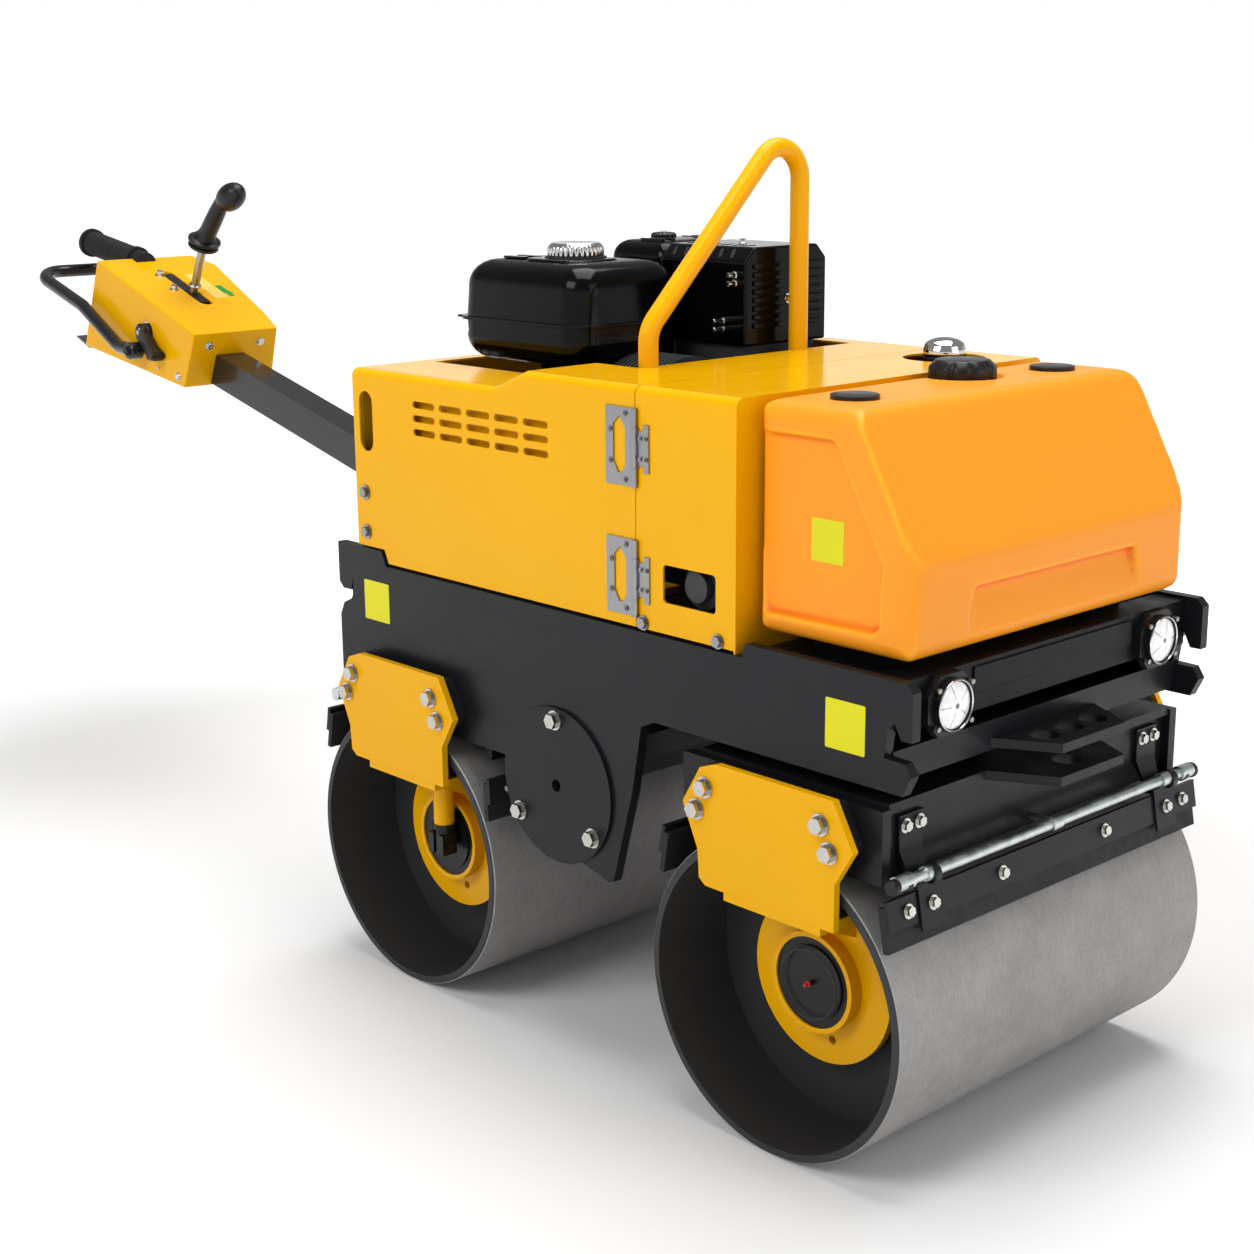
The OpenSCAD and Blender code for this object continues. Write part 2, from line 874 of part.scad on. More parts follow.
module blade() {
  scraper_pose() block(-holder_t / 2 - blade_t, -holder_t / 2, -blade_w / 2, blade_w / 2,
    -holder_h / 2 - blade_h + blade_t, holder_h / 2 - blade_t);
}

// a folded bracket from a cross plate's face down and forward to a scraper's holder
module scraper_bracket(face, low, high) {
  mid = (low + high) / 2;
  knee = spray_x - spray_r * 2;
  half = clip_w / 2;
  for (y = [-clip_y, clip_y]) intersection() {
    side(y - half, y + half) polygon([
      [face, high], [face + holder_t, high], [face + holder_t, mid], [knee, low + holder_t],
      [scraper_x, low + holder_t], [scraper_x, low], [knee - holder_t / 2, low],
      [face, mid - holder_t / 2]
    ]);
    front(face - over, scraper_x + over) polygon([
      [y - half, high + over], [y - half * 0.95, mid], [y - half * 0.65, low - over],
      [y + half * 0.65, low - over], [y + half * 0.95, mid], [y + half, high + over]
    ]);
  }
}

// two brackets carry the holder from the face of a cross plate
module scraper_set() {
  holder();
  scraper_bracket(yoke_cross_x, bracket_low, bracket_high);
}

// the rear drum's front scraper sits lower, turned about the axle
module low_frame() {
  translate([0, 0, axle_z]) rotate([0, low_turn, 0]) translate([0, 0, -axle_z]) children();
}

module rear_scrapers() {
  color(charcoal) placed() translate([-wheelbase, 0, 0]) {
    mirror([1, 0, 0]) scraper_set();
    low_frame() {
      scraper_set();
      block(yoke_cross_x - cross_t, yoke_cross_x, -plate_in, plate_in, bracket_low + cross_t,
        bracket_high);
    }
  }
}

module rear_scraper_blades() {
  color(rubber_black) placed() translate([-wheelbase, 0, 0]) {
    mirror([1, 0, 0]) blade();
    low_frame() blade();
  }
}

module front_scrapers() {
  color(charcoal) placed() {
    scraper_set();
    mirror([1, 0, 0]) scraper_set();
  }
}

module front_scraper_blades() {
  color(rubber_black) placed() {
    blade();
    mirror([1, 0, 0]) blade();
  }
}

// spray bar with its end caps, drip holes and clips
module spray_bar() {
  difference() {
    bar_y(spray_r, -spray_end, spray_end, spray_x, spray_z);
    bar_y(spray_r - washer_t, -spray_end - over, spray_end + over, spray_x, spray_z);
    for (i = [-spray_holes : spray_holes])
      bar_z(spray_hole_r, spray_z - spray_r - over, spray_z, spray_x, i * spray_pitch);
  }
  for (s = [-1, 1]) on_side(s)
    bar_y(spray_cap_r, -spray_end - washer_t, -spray_end + spray_cap_l, spray_x, spray_z);
  for (y = [-clip_y, clip_y]) {
    bar_y(spray_r + washer_t, y - spray_cap_r, y + spray_cap_r, spray_x, spray_z);
    block(spray_x - 2 * spray_r, spray_x - spray_r / 2, y - spray_cap_r, y + spray_cap_r,
      bracket_low + holder_t, spray_z);
  }
  // the water inlet from the cross plate
  bar_x(spray_r * 0.8, yoke_cross_x, spray_x - spray_r + washer_t, 0, spray_z);
  bar_y(spray_r + washer_t, -spray_cap_r, spray_cap_r, spray_x, spray_z);
}

module rear_spray_bar() {
  color(zinc) placed() translate([-wheelbase, 0, 0]) mirror([1, 0, 0]) spray_bar();
}
module front_spray_bar() { color(zinc) placed() spray_bar(); }

// front yoke: it swings about the king pin and carries the front drum

module yoke_side() {
  polygon([
    [-yoke_plate_x, yoke_rear_low + edge_slope], [-yoke_plate_x, yoke_plate_top],
    [yoke_plate_x, yoke_plate_top], [yoke_plate_x, yoke_front_low],
    [yoke_cross_x - 4 * cross_t, yoke_front_low], [yoke_cross_x - 6 * cross_t, yoke_rear_low],
    [-yoke_plate_x + edge_slope, yoke_rear_low]
  ]);
}

module front_yoke() {
  pin_top = tow_z + cross_t + face_gap + nut_h;
  color(charcoal) placed() difference() {
    union() {
      both_sides() side(-plate_y, -plate_in) yoke_side();
      for (x = [-yoke_cross_x, yoke_cross_x - cross_t])
        block(x, x + cross_t, -plate_in, plate_in, yoke_front_low, yoke_plate_top);
      translate([0, 0, yoke_top - cross_t]) linear_extrude(cross_t) tow_outline(yoke_deck_rear);
      bar_z(flange_r, yoke_top, tow_z - face_gap, 0, 0);
      bar_z(pin_r, yoke_top, pin_top, 0, 0);
      translate([0, 0, pin_top - nut_h]) linear_extrude(nut_h) hexagon(nut_r);
    }
    both_sides() carrier_bolt_shanks(shank_r + bolt_gap, carrier_out);
    bar_z(tow_hole_d / 2, yoke_top - cross_t - over, yoke_top + over, tow_hole_x, 0);
  }
}

// sheet metal body: one shell, parted into the doors, the housing and the panels

module body_section(top, inset) {
  w = body_y - inset;
  r = body_round - inset;
  t = top - inset;
  low = plate_top - inset;
  translate([-w, low]) square([2 * w, t - r - low]);
  translate([-w + r, low]) square([2 * (w - r), t - low]);
  for (y = [-w + r, w - r]) translate([y, t - r]) circle(r = r, $fn = 32);
}

module body_solid(inset) {
  front(-body_rear + inset, -slope_rear) body_section(body_top - body_drop, inset);
  front(-slope_front, -body_front - inset) body_section(body_top, inset);
  hull() {
    front(-slope_rear - run_gap, -slope_rear) body_section(body_top - body_drop, inset);
    front(-slope_front, -slope_front + run_gap) body_section(body_top, inset);
  }
}

module body_shell() {
  difference() {
    body_solid(0);
    body_solid(sheet_t);
  }
}

module slot_outline(w, h) {
  r = min(w, h) / 2;
  if (w > h) {
    for (x = [-w / 2 + r, w / 2 - r]) translate([x, 0]) circle(r = r);
    translate([-w / 2 + r, -r]) square([w - 2 * r, 2 * r]);
  } else {
    for (z = [-h / 2 + r, h / 2 - r]) translate([0, z]) circle(r = r);
    translate([-r, -h / 2 + r]) square([2 * r, h - 2 * r]);
  }
}

module door() {
  low = plate_top + sill_gap;
  difference() {
    intersection() {
      body_shell();
      block(-body_rear - over, -seam_x - door_gap, -body_y - over, -flange_y, low,
        body_top + over);
    }
    side(-body_y - over, -flange_y + over) polygon([
      [-body_rear - over, low - over], [-notch_x + notch_slope + over / 2, low - over],
      [-notch_x, notch_top], [-body_rear - over, notch_top]
    ]);
    side(-body_y - over, -body_y + sheet_t + over) {
      translate([-slot_x, (slot_low + slot_high) / 2])
        slot_outline(2 * slot_r, slot_high - slot_low);
      for (i = [0 : vent_count - 1], j = [-1, 0, 1])
        translate([-vent_x + (i - (vent_count - 1) / 2) * vent_pitch, vent_z + j * 2 * vent_h])
          slot_outline(vent_w, vent_h);
    }
  }
}

module near_door() { color(yellow) placed() door(); }
module far_door() { color(yellow) placed() mirror([0, 1, 0]) door(); }

// the door's half of a hinge: a leaf with a long window, and a knuckle at its top and at its bottom
module door_leaf(z) {
  x1 = -hinge_x - hinge_r - face_gap - leaf_w;
  mid = [x1 + leaf_w * 0.5, z + leaf_h / 2];
  difference() {
    union() {
      difference() {
        block(x1, x1 + leaf_w, -body_y - leaf_t, -body_y, z, z + leaf_h);
        side(-body_y - leaf_t - over, -body_y + over) translate(mid) polygon([
          [-leaf_w * 0.22, -leaf_h * 0.2], [-leaf_w * 0.05, -leaf_h * 0.34],
          [leaf_w * 0.1, -leaf_h * 0.34], [leaf_w * 0.22, -leaf_h * 0.24],
          [leaf_w * 0.22, leaf_h * 0.24], [0, leaf_h * 0.38], [-leaf_w * 0.22, leaf_h * 0.28]
        ]);
      }
      for (z1 = [z, z + leaf_h - knuckle_h]) {
        bar_z(hinge_r, z1, z1 + knuckle_h, -hinge_x, -hinge_y);
        block(x1 + leaf_w - over, -hinge_x, -body_y - leaf_t, -body_y - leaf_t / 4, z1,
          z1 + knuckle_h);
      }
      for (p = [[-0.34, -0.2], [-0.34, 0.2], [0.2, -0.42], [0.2, 0.42]])
        button_y(mid[0] + p[0] * leaf_w, -body_y - leaf_t, mid[1] + p[1] * leaf_h, screw_r, leaf_t);
    }
    bar_z(hinge_pin_r + run_gap, z - over, z + leaf_h + over, -hinge_x, -hinge_y);
  }
}

// the fixed half: a narrow leaf with a neck, the middle knuckle and the pin
module fixed_leaf(z) {
  x1 = -hinge_x + hinge_r + face_gap;
  low = z + knuckle_h + face_gap;
  high = z + leaf_h - knuckle_h - face_gap;
  rail = (high - low) * 0.08;
  block(x1, x1 + leaf_fixed_w, -body_y - leaf_t, -body_y, low + rail, high - rail);
  block(x1 + leaf_fixed_w * 0.5, x1 + leaf_fixed_w, -body_y - leaf_t, -body_y, low - rail, high + rail);
  bar_z(hinge_r, low, high, -hinge_x, -hinge_y);
  block(-hinge_x, x1 + over, -body_y - leaf_t, -body_y - leaf_t / 4, low, high);
  bar_z(hinge_pin_r, z, z + leaf_h, -hinge_x, -hinge_y);
  for (dx = [0.3, 0.75], k = [0.25, 0.75])
    button_y(x1 + dx * leaf_fixed_w, -body_y - leaf_t, low + k * (high - low), screw_r * 0.8, leaf_t);
}

module fixed_hinges() {
  color(zinc) placed() both_sides() {
    for (z = [leaf_low_z, leaf_high_z]) fixed_leaf(z);
    for (x = [-housing_bolt_rear, -housing_bolt_front])
      head_y(x, -body_y, housing_bolt_z, bolt_head_r * 0.7, bolt_head_t * 0.5, washer_r * 0.7);
  }
}

module door_fittings() {
  for (z = [leaf_low_z, leaf_high_z]) door_leaf(z);
  for (z = [door_bolt_low, door_bolt_high]) {
    head_y(-door_bolt_x, -body_y, z, bolt_head_r * 0.7, bolt_head_t * 0.6, washer_r * 0.8);
  }
}

module near_door_fittings() { color(zinc) placed() door_fittings(); }
module far_door_fittings() { color(zinc) placed() mirror([0, 1, 0]) door_fittings(); }

module front_housing() {
  color(yellow) placed() difference() {
    intersection() {
      body_shell();
      block(-seam_x, -body_front + over, -body_y - over, body_y + over, plate_top,
        body_top + over);
    }
    side(-body_y - over, body_y + over) translate([-window_x, window_z])
      round_box(window_w, window_h, window_r);
    both_sides() block(-seam_x - over, -body_front - sheet_t, -body_y - over, -body_y + sheet_t + over,
      plate_top - over, plate_top + sill_gap);
    bar_z(filler_hole_r, body_top - body_round, body_top + over, -filler_x, filler_y);
  }
}

module top_panel() {
  inner_y = flange_y - door_gap;
  difference() {
    intersection() {
      body_shell();
      block(-body_rear + sheet_t + over, -seam_x - door_gap, -inner_y, inner_y,
        body_top - body_drop - body_round, body_top + over);
    }
    block(-bay_rear, -bay_front, -bay_near, bay_far, body_top - 2 * body_drop, body_top + over);
    for (y = [-bow_y, bow_y])
      bar_z(bow_d / 2 + bolt_gap, body_top - 2 * body_drop, body_top + over, -bow_x, y);
  }
}

module rear_panel() {
  inner_y = flange_y - door_gap;
  difference() {
    block(-body_rear, -body_rear + sheet_t, -inner_y, inner_y, plate_top,
      body_top - body_drop);
    for (i = [0 : vent_count - 1], j = [-1 : 1])
      front(-body_rear - over, -body_rear + sheet_t + over)
        translate([(i - (vent_count - 1) / 2) * vent_pitch, vent_z + j * 2 * vent_h])
          slot_outline(vent_w, vent_h);
  }
}

module fixed_panels() {
  color(yellow) placed() {
    top_panel();
    rear_panel();
  }
}

// water tank, moulded in one piece with sunk sides

module tank_corner(x, z) { translate([x, z]) circle(r = tank_round, $fn = 32); }

// a rectangle about the middle with round corners
module round_box(w, h, r) {
  square([w - 2 * r, h], center = true);
  square([w, h - 2 * r], center = true);
  for (x = [-w / 2 + r, w / 2 - r], y = [-h / 2 + r, h / 2 - r]) translate([x, y]) circle(r = r);
}

module tank_recess_outline() {
  polygon([
    [-tank_back + tank_round, tank_top - 2.5 * tank_round],
    [tank_lip - 2.2 * tank_round, tank_top - 2.5 * tank_round],
    [tank_face - 3.3 * tank_round, tank_kink + tank_round], [tank_face - 3.2 * tank_round,
      tank_bottom + 1.7 * tank_round],
    [-tank_back + 1.5 * tank_round, tank_bottom + 1.2 * tank_round]
  ]);
}

module water_tank() {
  color(orange) placed() difference() {
    intersection() {
      side(-tank_w / 2, tank_w / 2) hull() {
        tank_corner(-tank_back + tank_round, tank_bottom + tank_round);
        tank_corner(-tank_back + tank_round, tank_top - tank_round);
        tank_corner(tank_lip - tank_round, tank_top - tank_round);
        tank_corner(tank_face - tank_round, tank_kink);
        tank_corner(tank_face - tank_round - sheet_t, tank_bottom + tank_round);
      }
      front(-tank_back - over, tank_face + over) translate([0, (tank_top + tank_bottom) / 2])
        round_box(tank_w, tank_top - tank_bottom, tank_round);
      translate([(tank_face - tank_back) / 2, 0, tank_bottom - over])
        linear_extrude(tank_top - tank_bottom + 2 * over)
          round_box(tank_face + tank_back, tank_w, tank_round);
    }
    both_sides() side(-tank_w / 2 - over, -tank_w / 2 + tank_recess) tank_recess_outline();
    front(tank_face - 2 * tank_recess, tank_face + over) polygon([
      [-tank_w * 0.3, tank_bottom + 1.5 * tank_round],
      [tank_w * 0.3, tank_bottom + 1.5 * tank_round],
      [tank_w * 0.24, tank_kink - tank_round], [-tank_w * 0.24, tank_kink - tank_round]
    ]);
    bar_z(water_cap_r + 2 * tank_recess, tank_top - 2 * tank_recess, tank_top + over, -cap_x, cap_y);
    for (y = [-plug_y, plug_y])
      bar_z(plug_r + face_gap, tank_top - tank_recess, tank_top + over, plug_x, y);
  }
  color(orange) placed()
    bar_z(water_cap_r * 0.7, tank_top - 2 * tank_recess - over, tank_top + tank_recess, -cap_x, cap_y);
}

module tank_plugs() {
  color(black) placed() {
    for (y = [-plug_y, plug_y]) difference() {
      bar_z(plug_r, tank_top - tank_recess, tank_top + tank_recess, plug_x, y);
      bar_z(plug_r * 0.7, tank_top, tank_top + tank_recess + over, plug_x, y);
    }
    both_sides() block(-tank_back + tank_round, deck_front, -tank_w / 2 + tank_w / 8,
      -tank_w / 2 + tank_w / 4, plate_top, tank_bottom);
  }
}

// a lobed hand cap, hollow from below
module lobed_cap(r, h, lobes, hollow_r, hollow_h) {
  difference() {
    union() {
      cylinder(r = r * 0.88, h = h);
      for (i = [0 : lobes - 1]) rotate([0, 0, i * 360 / lobes])
        translate([r * 0.82, 0, 0]) cylinder(r = r * 0.18, h = h * 0.8, $fn = 32);
    }
    translate([0, 0, -over]) cylinder(r = hollow_r, h = hollow_h + over);
  }
}

module water_cap() {
  z = tank_top - 2 * tank_recess + face_gap;
  color(black) placed() translate([-cap_x, cap_y, z])
    lobed_cap(water_cap_r, cap_h, 10, water_cap_r * 0.7 + face_gap, 3 * tank_recess + face_gap);
}

// hydraulic tank under the filler hole, and its domed cap

module hydraulic_tank() {
  low = window_z + window_h;
  top = body_top - 3 * sheet_t;
  color(charcoal) placed() {
    block(-seam_x + 6 * sheet_t, -body_front - 6 * sheet_t, bay_near / 2, flange_y - 4 * sheet_t,
      low, top - 4 * sheet_t);
    bar_z(filler_neck_r, top - 4 * sheet_t, body_top, -filler_x, filler_y);
    bar_z(filler_neck_r * 1.6, top - 4 * sheet_t, top - 3 * sheet_t, -filler_x, filler_y);
    for (x = [-seam_x + 8 * sheet_t, -body_front - 12 * sheet_t])
      block(x, x + 4 * sheet_t, bay_near, bay_near + 8 * sheet_t, plate_top, low);
  }
}

module hydraulic_cap() {
  color(zinc) placed() translate([-filler_x, filler_y, body_top + face_gap]) {
    cylinder(r = filler_neck_r * 1.25, h = filler_neck_r * 0.45);
    translate([0, 0, filler_neck_r * 0.45]) intersection() {
      translate([0, 0, -filler_neck_r * 1.1]) sphere(r = filler_neck_r * 1.66);
      cylinder(r = filler_neck_r * 1.25, h = filler_neck_r);
    }
  }
}

// lifting bow: a bar with a 45 degree shoulder and one wide bend, standing on the engine deck

module bow_turn(y, z, from, sweep) {
  translate([-bow_x, y, z]) rotate([90, 0, 90]) rotate([0, 0, from - lap])
    rotate_extrude(angle = sweep + 2 * lap) translate([bow_bend, 0])
      circle(r = bow_d / 2 - run_gap);
}

module lifting_bow() {
  r = bow_d / 2;
  crown_z = bow_crown - bow_bend;
  far_y = bow_y - bow_bend;
  // the shoulder is tangent to both bends
  knee_y = -bow_y + bow_bend;
  knee_z = crown_z - (far_y - knee_y);
  start = [knee_y - bow_bend * cos(shoulder), knee_z + bow_bend * sin(shoulder)];
  finish = [far_y - bow_bend * cos(shoulder), crown_z + bow_bend * sin(shoulder)];
  run = norm(finish - start);
  color(yellow) placed() {
    bar_z(r, plate_top, knee_z, -bow_x, -bow_y);
    bow_turn(knee_y, knee_z, 90 + shoulder, shoulder);
    translate([-bow_x, start[0], start[1]]) rotate([-shoulder, 0, 0]) cylinder(r = r, h = run);
    bow_turn(far_y, crown_z, 0, 90 + shoulder);
    bar_z(r, plate_top, crown_z, -bow_x, bow_y);
    for (y = [-bow_y, bow_y]) block(-bow_x - bow_foot, -bow_x + bow_foot, y - bow_foot,
      y + bow_foot, plate_top, plate_top + cross_t);
  }
}

// engine: crankcase with a finned head, carried on the deck's rails

module engine_block() {
  mid = -(case_front + case_rear) / 2;
  head_w = (case_rear - case_front) * 0.72;
  pitch = (head_y - case_w / 2) / fins;
  color(black) placed() difference() {
    union() {
      block(-case_rear, -case_front, -case_w / 2, case_w / 2, case_base, case_top - case_w / 5);
      side(-case_w / 2, case_w / 2) polygon([
        [-case_rear, case_top - case_w / 5], [-case_rear + case_w / 5, case_top],
        [-case_front - case_w / 5, case_top], [-case_front, case_top - case_w / 5]
      ]);
      block(-case_rear - sheet_t * 4, -case_front + sheet_t * 2, -case_w / 2 - sheet_t * 3,
        case_w / 2 + sheet_t * 3, case_base, case_base + cross_t);
      bar_y(head_w * 0.36, case_w / 2 - over, head_y, mid, (head_low + head_top) / 2);
      for (i = [0 : fins - 1])
        block(mid - head_w / 2, mid + head_w / 2, case_w / 2 + (i + 0.4) * pitch,
          case_w / 2 + (i + 0.75) * pitch, head_low, head_top);
      block(mid - head_w * 0.4, mid + head_w * 0.4, head_y - pitch * 0.2, head_y + pitch * 1.2,
        head_low + pitch, head_top - pitch);
      bar_x(bell_r * 0.55, -case_front - over, -case_front + sheet_t * 2, 0, shaft_z);
      // brackets under the fuel tank and the duct up to the air cleaner
      for (x = [-case_rear, -case_front - cross_t])
        block(x, x + cross_t, -case_w / 2, case_w / 2 - pitch, case_top - case_w / 5 - over,
          fuel_low);
      block(mid - head_w * 0.3, mid + head_w * 0.3, air_near + pitch, air_near + 3 * pitch,
        head_top - pitch, air_low);
    }
    bar_x(shaft_r + run_gap, -case_rear - over, -case_front + sheet_t * 2 + over, 0, shaft_z);
  }
}

module crankshaft() {
  color(steel) placed() {
    bar_x(shaft_r, -case_rear - sheet_t * 5, -bell_front - bell_wall * 2, 0, shaft_z);
    difference() {
      bar_x(bell_r * 0.72, -case_front + bell_wall * 2, -case_front + bell_wall * 4, 0, shaft_z);
      for (a = [0 : 60 : 300]) translate([0, 0, shaft_z]) rotate([a, 0, 0])
        bar_x(shank_r, -case_front + bell_wall, -case_front + bell_wall * 5, bell_r * 0.5, 0);
    }
  }
}

module hydraulic_pump() {
  color(charcoal) placed() {
    difference() {
      bar_x(bell_r, -case_front + sheet_t * 2, -bell_front, 0, shaft_z);
      bar_x(bell_r - bell_wall, -case_front + over, -bell_front - bell_wall, 0, shaft_z);
      for (a = [35, 145]) translate([0, 0, shaft_z]) rotate([a, 0, 0])
        bar_y(bell_wall * 2, 0, bell_r + over, -(case_front + bell_front) / 2, 0);
    }
    bar_x(pump_r, -bell_front, -pump_front, 0, shaft_z);
    for (x = [-bell_front + pump_r, -pump_front - bell_wall * 2])
      block(x, x + bell_wall * 2, -pump_r * 1.15, pump_r * 1.15, shaft_z - pump_r * 1.15,
        shaft_z + pump_r * 1.15);
    for (x = [-bell_front - bell_wall * 2, -pump_front - bell_wall * 3])
      block(x, x + bell_wall, -pump_r, pump_r, plate_top, shaft_z - pump_r * 0.8);
    // the second pump, seen through the window
    bar_y(window_h * 0.62, -body_y + window_h / 2, -bay_near, -window_x, window_z);
    bar_y(window_h * 0.4, -body_y + window_h / 4, -body_y + window_h / 2, -window_x, window_z);
    block(-window_x - window_h * 0.7, -window_x + window_h * 0.7, -bay_near - window_h,
      -bay_near + window_h / 2, plate_top, window_z + window_h);
  }
}

module recoil_starter() {
  back = -shroud_rear;
  color(black) placed() difference() {
    union() {
      bar_x(shroud_r, back, -case_rear - sheet_t * 4, 0, shaft_z);
      block(back, -case_rear - sheet_t * 4, 0, head_y * 0.8, shaft_z, head_top);
      bar_x(recoil_r, -recoil_rear + recoil_r / 6, back + over, 0, shaft_z);
      translate([-recoil_rear + recoil_r / 6, 0, shaft_z]) rotate([0, -90, 0])
        cylinder(r1 = recoil_r, r2 = recoil_r * 0.82, h = recoil_r / 6);
      block(-recoil_rear + recoil_r / 6, back, -recoil_r * 1.2, -recoil_r * 0.6,
        shaft_z + recoil_r * 0.3, shaft_z + recoil_r * 0.7);
    }
    bar_x(shroud_r - sheet_t * 2, back + sheet_t * 2, -case_rear - sheet_t * 3, 0, shaft_z);
    for (a = [0 : 30 : 330], k = [0.45, 0.7]) translate([0, 0, shaft_z]) rotate([a + k * 30, 0, 0])
      bar_x(recoil_r * 0.075, -recoil_rear - over, back + sheet_t * 3, recoil_r * k, 0);
  }
}

// fuel tank: two pressed halves joined by a flange

module fuel_half(z1, z2, rear) {
  r = fuel_round;
  hull() for (x = [-rear + r, -fuel_front - r], y = [-fuel_near + r, fuel_far - r]) {
    translate([x, y, z1]) cylinder(r = r, h = r, $fn = 32);
    translate([x, y, z2 - r]) cylinder(r1 = r, r2 = r * 0.55, h = r, $fn = 32);
  }
}

module fuel_tank() {
  color(black) placed() {
    difference() {
      fuel_half(fuel_seam, fuel_top, fuel_back);
      translate([-fuel_cap_x, -fuel_cap_y, fuel_top - sheet_t])
        cylinder(r = fuel_cap_r + face_gap, h = sheet_t + over);
    }
    translate([0, 0, fuel_seam + fuel_low]) mirror([0, 0, 1])
      fuel_half(fuel_low, fuel_seam, fuel_back);
    difference() {
      block(-fuel_flange, -fuel_front, -fuel_near - sheet_t, fuel_far + sheet_t,
        fuel_seam - sheet_t, fuel_seam + sheet_t);
      for (y = [-fuel_near * 0.7, fuel_far * 0.6])
        bar_z(shank_r, fuel_seam - 2 * sheet_t, fuel_seam + 2 * sheet_t,
          -(fuel_flange + fuel_back) / 2, y);
    }
    bar_z(fuel_cap_r * 0.7, fuel_top - sheet_t - over, fuel_top + cap_h / 4, -fuel_cap_x,
      -fuel_cap_y);
  }
}

module fuel_cap() {
  color(zinc) placed() translate([-fuel_cap_x, -fuel_cap_y, fuel_top - sheet_t + face_gap]) {
    difference() {
      union() {
        cylinder(r = fuel_cap_r * 0.94, h = cap_h * 0.8);
        for (i = [0 : 23]) rotate([0, 0, i * 360 / 24])
          translate([fuel_cap_r * 0.92, 0, 0])
            cylinder(r = fuel_cap_r * 0.08, h = cap_h * 0.7, $fn = 16);
      }
      translate([0, 0, -over])
        cylinder(r = fuel_cap_r * 0.7 + face_gap, h = cap_h / 4 + sheet_t + over);
    }
  }
}

module air_cleaner() {
  w = air_rear - air_front;
  mid_y = (air_near + air_far) / 2;
  color(black) placed() {
    hull() for (x = [-air_rear + fuel_round / 2, -air_front - fuel_round / 2],
          y = [air_near + fuel_round / 2, air_far - fuel_round / 2]) {
      translate([x, y, air_low]) cylinder(r = fuel_round / 2, h = fuel_round, $fn = 32);
      translate([x, y, air_top - fuel_round / 2])
        cylinder(r1 = fuel_round / 2, r2 = fuel_round / 4, h = fuel_round / 2, $fn = 32);
    }
    block(-air_rear - sheet_t, -air_front + sheet_t, air_near - sheet_t, air_far + sheet_t,
      air_low + w / 4, air_low + w / 4 + sheet_t * 2);
    translate([-(air_rear + air_front) / 2, mid_y, air_top])
      lobed_cap(fuel_round * 1.1, fuel_round * 0.7, 6, sheet_t, sheet_t);
  }
}

// muffler: a closed drum with a pipe down to the head and a chrome stub

module muffler() {
  r = (guard_far - guard_near) / 2 - sheet_t * 7;
  mid_y = (guard_near + guard_far) / 2;
  mid_z = (guard_low + guard_top) / 2;
  mid_x = -(guard_front + guard_rear) / 2;
  color(steel) placed() {
    bar_x(r * 0.8, -guard_rear + sheet_t * 3, -guard_front - sheet_t * 6, mid_y, mid_z);
    bar_z(r * 0.28, head_top - r, mid_z, mid_x, mid_y);
    bar_x(r * 0.28, -(case_front + case_rear) / 2 + (case_rear - case_front) * 0.36,
      mid_x + r * 0.28, mid_y, head_top - r * 0.8);
    bar_z(r * 0.22, guard_low - r * 0.4, mid_z, -guard_front - sheet_t * 10, mid_y - r * 0.4);
  }
}

module muffler_guard() {
  w = guard_far - guard_near;
  pitch = (guard_top - guard_low - 2 * guard_cut) / louvres;
  module guard_outline(inset) polygon([
    [guard_near + inset, guard_low - inset], [guard_near + inset, guard_top - guard_cut],
    [guard_near + guard_cut, guard_top - inset], [guard_far - guard_cut, guard_top - inset],
    [guard_far - inset, guard_top - guard_cut], [guard_far - inset, guard_low - inset]
  ]);
  color(black) placed() {
    difference() {
      front(-guard_rear, -guard_front) guard_outline(0);
      front(-guard_rear - over, -guard_front - sheet_t) guard_outline(sheet_t);
      for (i = [0 : louvres - 1], y = [guard_near + w * 0.28, guard_near + w * 0.72])
        front(-guard_front - sheet_t - over, -guard_front + over)
          translate([y, guard_low + guard_cut + (i + 0.6) * pitch])
            slot_outline(w * 0.34, pitch * 0.42);
      for (i = [0 : louvres - 1])
        side(guard_near - over, guard_far + over)
          translate([-(guard_front + guard_rear) / 2, guard_low + guard_cut
            + (i + 0.6) * pitch]) slot_outline((guard_rear - guard_front) * 0.55,
              pitch * 0.42);
    }
    bar_x(bolt_head_r * 0.6, -guard_front - sheet_t * 6, -guard_front + sheet_t * 1.5,
      (guard_near + guard_far) / 2, (guard_low + guard_top) / 2 - guard_cut);
  }
}

// work lamps on the upper beam

module lamp_outline() {
  c = lamp_h * 0.29;
  polygon([
    [-lamp_w / 2, -lamp_h / 2 + c], [-lamp_w / 2 + c, -lamp_h / 2], [lamp_w / 2 - c, -lamp_h / 2],
    [lamp_w / 2, -lamp_h / 2 + c], [lamp_w / 2, lamp_h / 2 - c], [lamp_w / 2 - c, lamp_h / 2],
    [-lamp_w / 2 + c, lamp_h / 2], [-lamp_w / 2, lamp_h / 2 - c]
  ]);
}

module lamp_housings() {
  color(black) placed() for (y = [-lamp_y, lamp_y]) difference() {
    union() {
      front(beam_x, beam_x + lamp_t) translate([y, lamp_z]) lamp_outline();
      bar_x(lens_r + sheet_t, beam_x + lamp_t, beam_x + lamp_t + rim_t, y, lamp_z);
      for (dy = [-lamp_screw_y, lamp_screw_y], dz = [-lamp_screw_z, lamp_screw_z])
        bar_x(sheet_t * 1.2, beam_x + lamp_t, beam_x + lamp_t + sheet_t * 0.8, y + dy,
          lamp_z + dz);
    }
    bar_x(lens_r, beam_x + lamp_t - sheet_t, beam_x + lamp_t + rim_t + over, y, lamp_z);
  }
}

